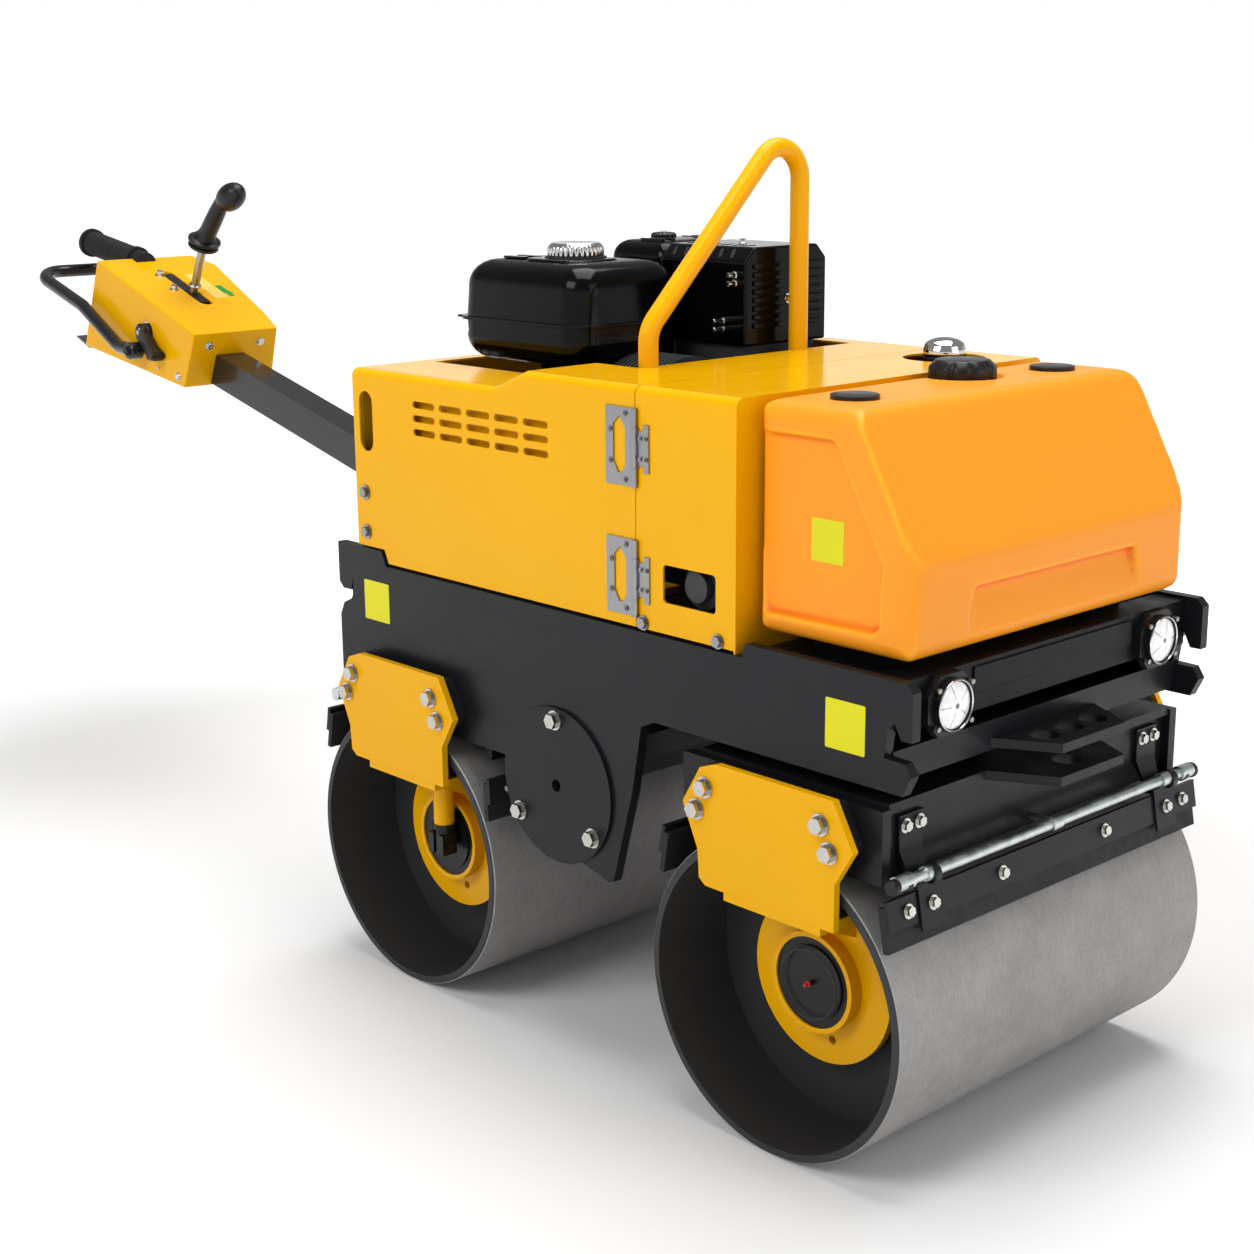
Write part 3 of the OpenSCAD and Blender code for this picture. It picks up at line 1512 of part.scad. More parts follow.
module lamp_lenses() {
  ball_r = (lens_r * lens_r + lens_bulge * lens_bulge) / (2 * lens_bulge);
  color(glass_white) placed() for (y = [-lamp_y, lamp_y])
    translate([beam_x + lamp_t - sheet_t, y, lamp_z]) rotate([0, 90, 0]) rotate_extrude()
      intersection() {
        square([lens_r - run_gap, rim_t + lens_bulge]);
        translate([0, rim_t + lens_bulge - ball_r]) circle(r = ball_r, $fn = 128);
      }
}

// tiller: a square tube on a pin between the rear lugs, with the control box at its end

module arm_frame() { translate([-pivot_x, 0, pivot_z]) rotate([0, arm_slope, 0]) children(); }

module box_outline(grow = 0) {
  polygon([
    [-box_front + grow, box_front_z + grow], [-box_rear - grow, box_rear_z + grow],
    [-box_tail - grow, box_tail_z - grow], [-box_foot, box_foot_z - grow]
  ]);
}

module tiller_arm() {
  reach = (box_foot - pivot_x) / cos(arm_slope) + arm_w;
  color(charcoal) placed() difference() {
    arm_frame() difference() {
      union() {
        block(-reach, 0, -arm_w / 2, arm_w / 2, -arm_w / 2, arm_w / 2);
        bar_y(arm_eye_r, -arm_w / 2 - lug_gap + face_gap, arm_w / 2 + lug_gap - face_gap, 0, 0);
      }
      block(-reach - over, -arm_eye_r - arm_wall, -arm_w / 2 + arm_wall, arm_w / 2 - arm_wall,
        -arm_w / 2 + arm_wall, arm_w / 2 - arm_wall);
      bar_y(pivot_r + run_gap, -arm_w, arm_w, 0, 0);
    }
    side(-arm_w, arm_w) box_outline();
  }
}

module control_box() {
  slope = atan2(box_rear_z - box_front_z, box_rear - box_front);
  slot_y1 = lever_y - lever_slot_w / 2;
  slot_y2 = lever_y + lever_slot_w / 2;
  color(yellow) placed() {
    difference() {
      side(-box_near, box_far) box_outline();
      block(-lever_slot_rear, -lever_slot_front, slot_y1, slot_y2, lever_z - lever_slot_w,
        box_rear_z + over);
      for (s = [-1, 1]) bar_y(shank_r, s > 0 ? box_far - washer_t : -box_near - over,
        s > 0 ? box_far + over : -box_near + washer_t, -box_foot - arm_w, box_foot_z + arm_w / 2);
    }
    bar_y(lever_pin_r, slot_y1 - over, slot_y2 + over, -lever_x, lever_z);
    // pivots of the loop bar and of the throttle lever
    bar_y(loop_pin_r, -loop_y - loop_eye - face_gap, -box_near + over, -loop_x, loop_z);
    bar_y(loop_pin_r, box_far - over, loop_y + loop_eye + face_gap, -loop_x, loop_z);
    for (s = [-1, 1]) on_side(s) bar_y(loop_pin_r * 1.6, -loop_y - loop_eye - face_gap - sheet_t,
      -loop_y - loop_eye - face_gap, -loop_x, loop_z);
    bar_y(throttle_pin_r, -box_near - throttle_r - sheet_t, -box_near + over, -throttle_x,
      throttle_z);
    bar_y(throttle_pin_r * 1.7, -box_near - throttle_r - 2 * sheet_t,
      -box_near - throttle_r - sheet_t, -throttle_x, throttle_z);
    // bolts: two on the sloping top, two on the front, one on the side
    for (p = [[-box_nut_rear, sheet_t], [-box_nut_front, -sheet_t]]) translate([p[0], p[1],
      box_front_z + (-p[0] - box_front) * tan(slope)]) rotate([0, slope, 0]) {
        translate([0, 0, -over]) cylinder(r = bolt_head_r * 0.8, h = washer_t + over);
        translate([0, 0, washer_t]) linear_extrude(bolt_head_t) hexagon(bolt_head_r * 0.6);
      }
    head_y(-box_front - arm_w, -box_near, box_foot_z + arm_w / 3, bolt_head_r * 0.6, bolt_head_t / 2,
      washer_r * 0.7);
    // the thin plate that shows under the rear edge
    side(-box_near + arm_wall, box_far - arm_wall) polygon([
      [-box_plate, box_tail_z + plate_rise], [-box_plate, box_tail_z + plate_rise + sheet_t],
      [-box_tail - sheet_t * 2, box_tail_z + plate_rise + 2 * sheet_t],
      [-box_tail + over, box_tail_z + sheet_t], [-box_tail + over, box_tail_z]
    ]);
  }
}

module hand_grip() {
  pitch = grip_len / (grip_ribs + 2);
  color(rubber_black) placed() difference() {
    translate([-grip_back, grip_y, grip_z]) rotate([0, 90 + grip_tilt, 0]) {
      cylinder(r = grip_r * 1.3, h = pitch * 0.8);
      cylinder(r = grip_r, h = grip_len + arm_w / 2);
      for (i = [1 : grip_ribs]) translate([0, 0, i * pitch])
        cylinder(r1 = grip_r * 1.12, r2 = grip_r * 1.02, h = pitch * 0.6);
      translate([0, 0, pitch * (grip_ribs + 1)]) cylinder(r = grip_r * 1.25, h = pitch);
    }
    side(-box_near, box_far) box_outline();
  }
}

module drive_lever() {
  len = lever_len;
  color(black) placed() translate([-lever_x, lever_y, lever_z]) {
    rotate([0, lever_lean, 0]) {
      difference() {
        union() {
          bar_y(lever_pin_r * 2, -lever_slot_w / 3, lever_slot_w / 3, 0, 0);
          cylinder(r = lever_r, h = len);
        }
        bar_y(lever_pin_r + run_gap, -lever_slot_w, lever_slot_w, 0, 0);
      }
      translate([0, 0, len * 0.93]) for (y = [-lever_disc_t * 1.1, lever_disc_t * 0.1])
        bar_y(lever_disc_r, y, y + lever_disc_t, 0, 0);
    }
    translate([len * sin(lever_lean), 0, len * cos(lever_lean)]) rotate([0, 90 - lever_bend, 0]) {
      cylinder(r1 = lever_disc_t * 1.1, r2 = lever_disc_t * 0.9, h = lever_grip);
      for (i = [0 : 5]) translate([0, 0, lever_grip * (0.15 + i * 0.12)])
        cylinder(r1 = lever_disc_t * 1.35, r2 = lever_disc_t, h = lever_grip * 0.08);
      translate([0, 0, lever_grip]) cylinder(r1 = lever_disc_t, r2 = knob_r, h = knob_r);
      translate([0, 0, lever_grip + knob_r * 1.3]) sphere(r = knob_r * 1.04);
    }
  }
}

// loop bar: two straight arms, two round corners and the cross bar, in one tilted plane

module loop_bar() {
  r = loop_d / 2;
  run = norm([loop_back - loop_x, loop_rise - loop_z]);
  tilt = atan2(loop_rise - loop_z, loop_back - loop_x);
  color(charcoal) placed() translate([-loop_x, 0, loop_z]) rotate([0, tilt, 0]) difference() {
    union() {
      both_sides() {
        translate([0, -loop_y, 0]) rotate([0, -90, 0]) cylinder(r = r, h = run - loop_bend);
        translate([-run + loop_bend, -loop_y + loop_bend, 0]) rotate([0, 0, 180 - lap])
          rotate_extrude(angle = 90 + 2 * lap) translate([loop_bend, 0])
            circle(r = r - run_gap);
        bar_y(loop_pin_r * 2, -loop_y - loop_eye, -loop_y + loop_eye, 0, 0);
      }
      bar_y(r, -loop_y + loop_bend, loop_y - loop_bend, -run, 0);
    }
    both_sides() bar_y(loop_pin_r + run_gap, -loop_y - 2 * r, -loop_y + 2 * r, 0, 0);
  }
}

module throttle_lever() {
  y = -box_near - face_gap;
  color(black) placed() difference() {
    union() {
      bar_y(throttle_r, y - throttle_r, y, -throttle_x, throttle_z);
      translate([-throttle_x, y, throttle_z]) rotate([0, throttle_fall, 0]) {
        block(0, throttle_len, -throttle_r * 0.85, -throttle_r * 0.45, -throttle_r * 0.3,
          throttle_r * 0.3);
        side(-throttle_r * 1.3, -throttle_r * 0.3) translate([throttle_len - throttle_r, 0])
          slot_outline(throttle_r * 2.2, throttle_r * 0.9);
      }
    }
    bar_y(throttle_pin_r + run_gap, y - 2 * throttle_r, y + over, -throttle_x, throttle_z);
  }
}

// draw what was asked for
near_side_plate();
far_side_plate();
engine_deck();
front_upper_beam();
front_lower_beam();
rear_cross_beam();
round_covers();
front_housing();
fixed_panels();
fixed_hinges();
near_door();
near_door_fittings();
far_door();
far_door_fittings();
water_tank();
tank_plugs();
water_cap();
hydraulic_tank();
hydraulic_cap();
lifting_bow();
engine_block();
crankshaft();
recoil_starter();
fuel_tank();
fuel_cap();
air_cleaner();
muffler();
muffler_guard();
hydraulic_pump();
lamp_housings();
lamp_lenses();
rear_near_carrier();
rear_far_carrier();
front_near_carrier();
front_far_carrier();
rear_carrier_pads();
front_carrier_pads();
rear_carrier_bolts();
front_carrier_bolts();
rear_hub_caps();
front_hub_caps();
rear_hub_bearings();
front_hub_bearings();
rear_drum();
front_drum();
rear_exciter_shaft();
front_exciter_shaft();
rear_scrapers();
rear_scraper_blades();
front_scrapers();
front_scraper_blades();
rear_spray_bar();
front_spray_bar();
front_yoke();
tiller_arm();
control_box();
hand_grip();
drive_lever();
loop_bar();
throttle_lever();
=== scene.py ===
"""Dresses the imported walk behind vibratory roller: materials, soft edges and fine pieces."""
from math import atan2, cos, pi, radians, sin

import bpy
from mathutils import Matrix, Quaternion, Vector


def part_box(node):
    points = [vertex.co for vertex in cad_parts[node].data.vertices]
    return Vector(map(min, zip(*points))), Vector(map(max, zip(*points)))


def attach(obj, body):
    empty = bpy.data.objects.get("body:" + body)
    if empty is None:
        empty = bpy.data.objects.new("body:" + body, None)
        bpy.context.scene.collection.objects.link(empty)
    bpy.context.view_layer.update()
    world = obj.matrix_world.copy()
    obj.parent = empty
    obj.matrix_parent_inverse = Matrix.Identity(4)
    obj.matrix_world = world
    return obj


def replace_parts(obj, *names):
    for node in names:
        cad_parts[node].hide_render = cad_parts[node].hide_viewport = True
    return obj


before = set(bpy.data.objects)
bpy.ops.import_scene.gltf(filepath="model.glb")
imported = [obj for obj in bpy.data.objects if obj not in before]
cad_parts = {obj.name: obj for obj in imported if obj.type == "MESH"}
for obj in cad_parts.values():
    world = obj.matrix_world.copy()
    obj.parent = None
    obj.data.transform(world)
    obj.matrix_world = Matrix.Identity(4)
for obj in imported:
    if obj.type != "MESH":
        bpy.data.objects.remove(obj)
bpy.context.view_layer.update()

MM = 0.001
X_AXIS, Y_AXIS, Z_AXIS = Vector((1, 0, 0)), Vector((0, 1, 0)), Vector((0, 0, 1))
SIDES = NEAR, FAR = -1, 1  # the machine's two sides across

# Camera: where the photograph was taken from, in metres, pixels, millimetres and degrees
IMAGE_PX = 1254
FOCAL_PX = 2004.8
CAMERA_PLACE = Vector((2.6078, -2.0399, 1.2879))
CAMERA_AZIMUTH = 47.27
CAMERA_ELEVATION = 14.10
CAMERA_ROLL = -0.49
CAMERA_SIGHT = 200
SENSOR_MM = 36.0

# Room: metres, watts and shares
FLOOR_REACH = 60.0
FLOOR_NEAR, FLOOR_FAR, FLOOR_PAINTED_GLOW = 1.3, 3.2, 0.8  # the floor's painted glow grows with distance, so it fades to white
SKY_LOW, SKY_HIGH = 0.1, 0.3  # the sky's light changes between these sines of the height
SKY_BRIGHT, SKY_DIM = 1.0, 0.3
LIGHTS = (  # name, place, target, size, power
    ("key", (0.4, -3.8, 3.4), (0, 0, 0.5), (2.6, 2.0), 98),
    ("top", (0.4, 0.5, 4.4), (0, 0, 0.5), (3.6, 2.8), 190),
    ("front", (4.4, 0.8, 2.2), (0.9, 0, 0.5), (2.4, 2.4), 30),
)

# Driving places, read from the frame
FRONT_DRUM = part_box("front_drum")
REAR_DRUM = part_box("rear_drum")
FRONT_AXLE = (FRONT_DRUM[0] + FRONT_DRUM[1]) / 2
REAR_AXLE = (REAR_DRUM[0] + REAR_DRUM[1]) / 2

# Lamps, in millimetres as the pieces below
LAMP_X, LAMP_Y, LAMP_Z = 195, 219, 620


# Node trees

MIX_FACTOR, MIX_A, MIX_B, MIX_RESULT = 0, 6, 7, 2  # a Mix node's sockets for colours
TONE_LOW, TONE_HIGH = 0.3, 0.7  # the part of a noise's range that a finish uses


def tree_of(name):
    """A new material, its node tree and its shader."""
    material = bpy.data.materials.new(name)
    material.use_nodes = True
    tree = material.node_tree
    return material, tree, tree.nodes["Principled BSDF"]


def put(tree, value, socket):
    """Links an output to a socket, or sets a constant there."""
    if isinstance(value, bpy.types.NodeSocket):
        tree.links.new(value, socket)
    else:
        socket.default_value = value


def fill(tree, node, **values):
    """Puts values on a node's sockets; their names have _ for each space."""
    for name, value in values.items():
        put(tree, value, node.inputs[name.replace("_", " ")])


def new(tree, kind, **values):
    node = tree.nodes.new("ShaderNode" + kind)
    fill(tree, node, **values)
    return node


def coords(tree, scale=(1, 1, 1)):
    """Object coordinates, in metres, times a scale."""
    place = new(tree, "TexCoord").outputs["Object"]
    return new(tree, "Mapping", Vector=place, Scale=scale).outputs["Vector"]


def parts(tree, vector):
    """A vector's X, Y and Z."""
    node = new(tree, "SeparateXYZ", Vector=vector)
    return [node.outputs[axis] for axis in "XYZ"]


def noise(tree, vector, scale, detail, roughness=0.55):
    return new(tree, "TexNoise", Vector=vector, Scale=scale, Detail=detail,
               Roughness=roughness).outputs["Fac"]


def ramp(tree, value, stops):
    """A colour ramp of (place, colour) stops."""
    node = new(tree, "ValToRGB", Fac=value)
    elements = node.color_ramp.elements
    while len(elements) < len(stops):
        elements.new(0.5)
    for element, (place, colour) in zip(elements, stops):
        element.position = place
        element.color = (*colour, 1)
    return node.outputs["Color"]


def remap(tree, value, low, high, out_low, out_high):
    return new(tree, "MapRange", Value=value, From_Min=low, From_Max=high, To_Min=out_low,
               To_Max=out_high).outputs["Result"]


def math(tree, operation, *values):
    node = new(tree, "Math")
    node.operation = operation
    for value, socket in zip(values, node.inputs):
        put(tree, value, socket)
    return node.outputs["Value"]


def times(tree, a, b):
    return math(tree, "MULTIPLY", a, b)


def distance(tree, a, b):
    """The distance that two lengths at a right angle make."""
    squares = [math(tree, "POWER", side, 2.0) for side in (a, b)]
    return math(tree, "SQRT", math(tree, "ADD", *squares))


def mixed(tree, blend, factor, a, b):
    """Colour b mixed into colour a; each value is an output or a constant."""
    node = new(tree, "Mix")
    node.data_type = "RGBA"
    node.blend_type = blend
    for value, place in ((factor, MIX_FACTOR), (a, MIX_A), (b, MIX_B)):
        put(tree, value, node.inputs[place])
    return node.outputs[MIX_RESULT]


def relief(tree, height, strength, depth):
    """A bumpy surface's normal."""
    return new(tree, "Bump", Height=height, Strength=strength, Distance=depth).outputs["Normal"]


def shade(colour, factor):
    return tuple(min(1.0, c * factor) for c in colour)


def mottled(tree, tone, colour, spread):
    """A colour that a noise makes darker and paler by a share."""
    return ramp(tree, tone, [(TONE_LOW, shade(colour, 1 - spread)),
                             (TONE_HIGH, shade(colour, 1 + spread))])


def gloss(tree, tone, rough, shares):
    """A roughness that a noise takes from the lower to the higher share of itself."""
    return remap(tree, tone, TONE_LOW, TONE_HIGH, *(rough * share for share in shares))


# Materials: noises are (scale, detail) and may add a roughness, depths are in metres

PAINT_CLOUD, PAINT_GLOSS, PAINT_PEEL, PEEL_DEPTH = (7, 5), (38, 6), (420, 2), 0.0004
PAINT_SHARES, COAT_ROUGHNESS = (0.82, 1.2), 0.08
MOULD_CLOUD, MOULD_GLOSS, GRAIN_DETAIL, GRAIN_DEPTH = (5, 4), (60, 5), 3, 0.0005
MOULD_SHARES = (0.88, 1.12)
METAL_DETAIL, METAL_SHARES, BRUSH_DEPTH = 6, (0.75, 1.3), 0.0003
HOLLOW_PAINTED_SHADE, EVEN, OUTER_PAINTED_HIGHLIGHT = (0.3, 0.22, 0.3), (0.5, 0.5, 0.5), (0.75, 0.66, 0.62)  # overlay tints: painted shade for hollow edges, neutral, painted highlight for outer edges


def paint(name, colour, rough=0.3, coat=0.5, peel=0.12, shine=0.3, spread=0.05):
    """Sprayed paint: soft tone changes, an orange-peel skin and uneven gloss."""
    material, tree, shader = tree_of(name)
    place = coords(tree)
    fill(tree, shader, Base_Color=mottled(tree, noise(tree, place, *PAINT_CLOUD), colour, spread),
         Roughness=gloss(tree, noise(tree, place, *PAINT_GLOSS), rough, PAINT_SHARES),
         Specular_IOR_Level=shine, Coat_Weight=coat, Coat_Roughness=COAT_ROUGHNESS,
         Normal=relief(tree, noise(tree, place, *PAINT_PEEL), peel, PEEL_DEPTH))
    return material


def with_painted_edge_light(tree, colours, reach):
    """Colours with painted shade in hollow edges and a painted highlight on outer ones."""
    bend = new(tree, "NewGeometry").outputs["Pointiness"]
    bend = remap(tree, bend, 0.5 - reach, 0.5 + reach, 0.0, 1.0)
    # painted shade where the surface is hollow, painted highlight where it turns outward
    edge = ramp(tree, bend, [(0.0, HOLLOW_PAINTED_SHADE), (0.38, EVEN), (0.62, EVEN), (1.0, OUTER_PAINTED_HIGHLIGHT)])
    return mixed(tree, "OVERLAY", 1.0, colours, edge)


def moulded(name, colour, rough=0.5, grain=0.25, spread=0.05, grain_scale=900, shine=0.3, edge=0.0):
    """Moulded plastic or rubber with a fine grain; edge is the reach of its painted shade in hollow
    edges and painted highlight on outer ones.
    """
    material, tree, shader = tree_of(name)
    place = coords(tree)
    colours = mottled(tree, noise(tree, place, *MOULD_CLOUD), colour, spread)
    if edge:
        colours = with_painted_edge_light(tree, colours, edge)
    fill(tree, shader, Base_Color=colours, Specular_IOR_Level=shine,
         Roughness=gloss(tree, noise(tree, place, *MOULD_GLOSS), rough, MOULD_SHARES),
         Normal=relief(tree, noise(tree, place, grain_scale, GRAIN_DETAIL), grain, GRAIN_DEPTH))
    return material


def metal(name, colour, rough=0.3, stretch=(1, 1, 1), brush=0.15, spread=0.08, scale=160):
    """Bare or plated metal, brushed along the axis with the smallest stretch."""
    material, tree, shader = tree_of(name)
    tone = noise(tree, coords(tree, stretch), scale, METAL_DETAIL)
    fill(tree, shader, Base_Color=mottled(tree, tone, colour, spread), Metallic=1.0,
         Roughness=gloss(tree, tone, rough, METAL_SHARES),
         Normal=relief(tree, tone, brush, BRUSH_DEPTH))
    return material


STREAKS, MOTTLE, SPECKS = (260, 6, 0.6), (16, 8, 0.62), (520, 5, 0.7)
STREAK_SHARE, MOTTLE_SHARE, SPECK_SHARE = 0.25, 0.3, 0.45
STREAK_REACH = 0.05  # the streaks change slowly round the drum, as if its radius were this
SKIN_TONES = ((0.36, (0.235, 0.225, 0.22)), (0.5, (0.3, 0.29, 0.284)), (0.64, (0.37, 0.36, 0.352)))
SKIN_ROUGHNESS, SKIN_METALLIC, SKIN_BUMP, SKIN_DEPTH = (0.35, 0.65, 0.62, 0.48), 0.4, 0.3, 0.0006
SHELL_LIP, SHELL_PAINT = 0.0015, (0.026, 0.027, 0.029, 1)


def drum_skin(name, axle, box):
    """Rolled steel: a mottled grey skin, faint streaks round it, dark paint in the shell."""
    material, tree, shader = tree_of(name)
    place = coords(tree)
    x, y, z = parts(tree, place)
    across, above = math(tree, "SUBTRACT", x, axle.x), math(tree, "SUBTRACT", z, axle.z)
    angle = math(tree, "ARCTAN2", above, across)
    near_x, near_z = (times(tree, math(tree, turn, angle), STREAK_REACH)
                      for turn in ("COSINE", "SINE"))
    unrolled = new(tree, "CombineXYZ", X=near_x, Y=y, Z=near_z).outputs["Vector"]
    fine = math(tree, "ADD", times(tree, noise(tree, unrolled, *STREAKS), STREAK_SHARE),
                times(tree, noise(tree, place, *SPECKS), SPECK_SHARE))
    tone = math(tree, "ADD", times(tree, noise(tree, place, *MOTTLE), MOTTLE_SHARE), fine)
    radius = (box[1].z - box[0].z) / 2
    inside = math(tree, "LESS_THAN", distance(tree, across, above), radius - SHELL_LIP)
    fill(tree, shader, Specular_IOR_Level=0.3,
         Base_Color=mixed(tree, "MIX", inside, ramp(tree, tone, SKIN_TONES), SHELL_PAINT),
         Metallic=remap(tree, inside, 0, 1, SKIN_METALLIC, 0.0),
         Roughness=remap(tree, tone, *SKIN_ROUGHNESS),
         Normal=relief(tree, tone, SKIN_BUMP, SKIN_DEPTH))
    return material


DISH_SECTORS = 2.5  # half the number of seams
DISH_SEAM, DISH_HUB, DISH_BULB, DISH_EDGE = 0.0018, 0.009, 0.0035, 0.0285
DISH_FACETS, FACET_REACH, FACET_PAINTED_REFLECTION, FACET_ROUGHNESS = 110, 0.6, (0.98, 0.72), (0.08, 0.2)
DISH_DARK, SEAM_DARK, DISH_PAINTED_GLOW, LENS_ROUGHNESS = 0.12, 0.75, 0.12, 0.02


def lamp_face(name, across, up):
    """A clear lens over a faceted dish whose white colour, facet tones and glow are painted
    reflection, with dark seams between its sectors.
    """
    material, tree, shader = tree_of(name)
    place = coords(tree)
    y, z = parts(tree, place)[1:]
    side = math(tree, "SUBTRACT", math(tree, "ABSOLUTE", y), across)
    rise = math(tree, "SUBTRACT", z, up)
    reach = distance(tree, side, rise)
    sector = times(tree, math(tree, "ARCTAN2", rise, side), DISH_SECTORS)
    turn = math(tree, "ABSOLUTE", math(tree, "SINE", sector))
    seam = times(tree, math(tree, "LESS_THAN", times(tree, turn, reach), DISH_SEAM),
                 math(tree, "GREATER_THAN", reach, DISH_HUB))
    ends = math(tree, "MAXIMUM", math(tree, "LESS_THAN", reach, DISH_BULB),
                math(tree, "GREATER_THAN", reach, DISH_EDGE))
    dark = math(tree, "MAXIMUM", times(tree, seam, SEAM_DARK), ends)
    depth = new(tree, "TexVoronoi", Vector=place, Scale=DISH_FACETS).outputs["Distance"]
    # the facets' paler and darker tones are painted reflection
    tone = times(tree, remap(tree, depth, 0.0, FACET_REACH, *FACET_PAINTED_REFLECTION),
                 remap(tree, dark, 0.0, 1.0, 1.0, DISH_DARK))
    colours = ramp(tree, tone, [(0.0, (0.0, 0.0, 0.0)), (1.0, (1.0, 1.0, 1.0))])
    # the dish's white colour and its glow are painted reflection
    fill(tree, shader, Base_Color=colours, Emission_Color=colours, Emission_Strength=DISH_PAINTED_GLOW,
         Roughness=remap(tree, depth, 0, FACET_REACH, *FACET_ROUGHNESS),
         Coat_Weight=1.0, Coat_Roughness=LENS_ROUGHNESS)
    return material


FILM = {"rough": 0.34, "coat": 0.05, "peel": 0.02, "shine": 0.15}
YELLOW = paint("yellow_paint", (0.73, 0.36, 0.0005), rough=0.17, coat=0.03, peel=0.015,
               shine=0.11, spread=0.02)
# The tank's plastic carries painted shade in its hollow edges and a painted highlight on its outer
# ones.
ORANGE = moulded("tank_plastic", (0.82, 0.275, 0.01), rough=0.4, grain=0.1, spread=0.02,
                 grain_scale=700, shine=0.22, edge=0.04)
FRAME = paint("frame_paint", (0.0085, 0.009, 0.011), rough=0.34, coat=0.04, shine=0.17)
# The upper beam's black is the frame's black made darker: painted shade, which offsets the front
# light that the beam faces.
BEAM_SHADED_BLACK = paint("beam_paint_shaded", (0.0042, 0.0045, 0.0056), rough=0.36, coat=0.02, shine=0.1)
TUBE = paint("tube_paint", (0.0075, 0.008, 0.0095), rough=0.22, coat=0.2, peel=0.05)
ENGINE = paint("engine_paint", (0.0012, 0.0012, 0.0013), rough=0.17, coat=0.06, peel=0.04,
               shine=0.11)
CASTING = paint("casting_paint", (0.03, 0.03, 0.033), rough=0.5, coat=0.0, peel=0.5)
BLACK = moulded("black_plastic", (0.006, 0.006, 0.0065), rough=0.34)
RUBBER = moulded("black_rubber", (0.008, 0.008, 0.0085), rough=0.6, grain=0.4)
ZINC = metal("zinc_plate", (0.5, 0.49, 0.46), rough=0.2)
STAINLESS = metal("stainless_sheet", (0.27, 0.27, 0.28), stretch=(1, 1, 0.06), brush=0.1)
CHROME = metal("chrome", (0.66, 0.66, 0.67), rough=0.05, brush=0.01, spread=0.02)
GALVANISED = metal("galvanised", (0.55, 0.6, 0.58), rough=0.36, scale=60, spread=0.15)
# The lamp's dish has painted reflection and a painted glow.
LENS = lamp_face("lamp_glass", LAMP_Y * MM, LAMP_Z * MM)
SILVER = metal("bright_plate", (0.55, 0.55, 0.55), rough=0.16, brush=0.06, spread=0.04)
LABEL = paint("label_film", (0.62, 0.58, 0.008), spread=0.03, **FILM)
PALE = paint("pale_film", (0.72, 0.5, 0.1), spread=0.03, **FILM)
GREEN = paint("green_film", (0.01, 0.25, 0.04), **FILM)
RED = paint("red_cap", (0.5, 0.02, 0.015), coat=0.1, peel=0.02)
BAR = paint("bar_paint", (0.01, 0.01, 0.012), rough=0.24, coat=0.2, peel=0.1, shine=0.35)
ROD = metal("ground_rod", (0.34, 0.33, 0.31), stretch=(1, 1, 0.1))
FRONT_SKIN = drum_skin("front_drum_steel", FRONT_AXLE, FRONT_DRUM)
REAR_SKIN = drum_skin("rear_drum_steel", REAR_AXLE, REAR_DRUM)


# CAD nodes: each keeps its shape and gets a finish, and those given a width get a small edge radius

def soften_edges(piece, width, segments, angle):
    """Rounds the edges that turn more than an angle; the width is in millimetres."""
    edge = piece.modifiers.new("edge", "BEVEL")
    edge.width = width * MM
    edge.segments = segments
    edge.limit_method = "ANGLE"
    edge.angle_limit = radians(angle)
    edge.harden_normals = True


def dress(material, width, *names):
    for name in names:
        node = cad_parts[name]
        node.data.materials.clear()
        node.data.materials.append(material)
        if width:
            soften_edges(node, width, 2, 40)


dress(YELLOW, 1.2, "front_housing", "fixed_panels", "near_door", "far_door", "control_box")
dress(YELLOW, 1.5, "rear_near_carrier", "rear_far_carrier", "front_near_carrier",
      "front_far_carrier")
dress(YELLOW, 0, "lifting_bow")
dress(ORANGE, 6, "water_tank")
dress(FRAME, 1.2, "near_side_plate", "far_side_plate", "front_lower_beam", "rear_cross_beam",
      "engine_deck", "front_yoke", "round_covers", "rear_scrapers", "front_scrapers")
# the upper beam gets the darker black of painted shade
dress(BEAM_SHADED_BLACK, 1.2, "front_upper_beam")
dress(TUBE, 1.2, "tiller_arm")
dress(FRAME, 0, "loop_bar")
dress(STAINLESS, 0.3, "fixed_hinges", "near_door_fittings", "far_door_fittings")
dress(ZINC, 0.8, "rear_carrier_bolts", "front_carrier_bolts", "fuel_cap")
dress(ZINC, 0, "rear_hub_bearings", "front_hub_bearings", "crankshaft", "muffler")
dress(GALVANISED, 0, "front_spray_bar", "rear_spray_bar")
dress(CHROME, 0, "hydraulic_cap")
dress(RUBBER, 1.5, "rear_carrier_pads", "front_carrier_pads", "rear_scraper_blades",
      "front_scraper_blades", "hand_grip")
dress(BLACK, 1, "tank_plugs", "water_cap", "air_cleaner", "throttle_lever", "drive_lever",
      "rear_hub_caps", "front_hub_caps", "lamp_housings")
dress(ENGINE, 1.2, "engine_block", "recoil_starter", "fuel_tank", "muffler_guard")
dress(CASTING, 1.5, "hydraulic_pump", "hydraulic_tank", "rear_exciter_shaft", "front_exciter_shaft")
dress(LENS, 0, "lamp_lenses")
dress(FRONT_SKIN, 0.8, "front_drum")
dress(REAR_SKIN, 0.8, "rear_drum")


# Pieces: forms are gathered in millimetres from the front axle's place on the ground,
# with +X ahead and the near side at -Y

LEAST_R = 0.02  # a turned form keeps this radius where its profile meets the axis
WASHER_T, WASHER_CHAMFER, WASHER_SIDES = 1.2, 0.6, 28
HEAD_SHARES = ((1, 0), (1, 0.75), (0.82, 1), (0.4, 1), (0.3, 0.85))  # of radius and height


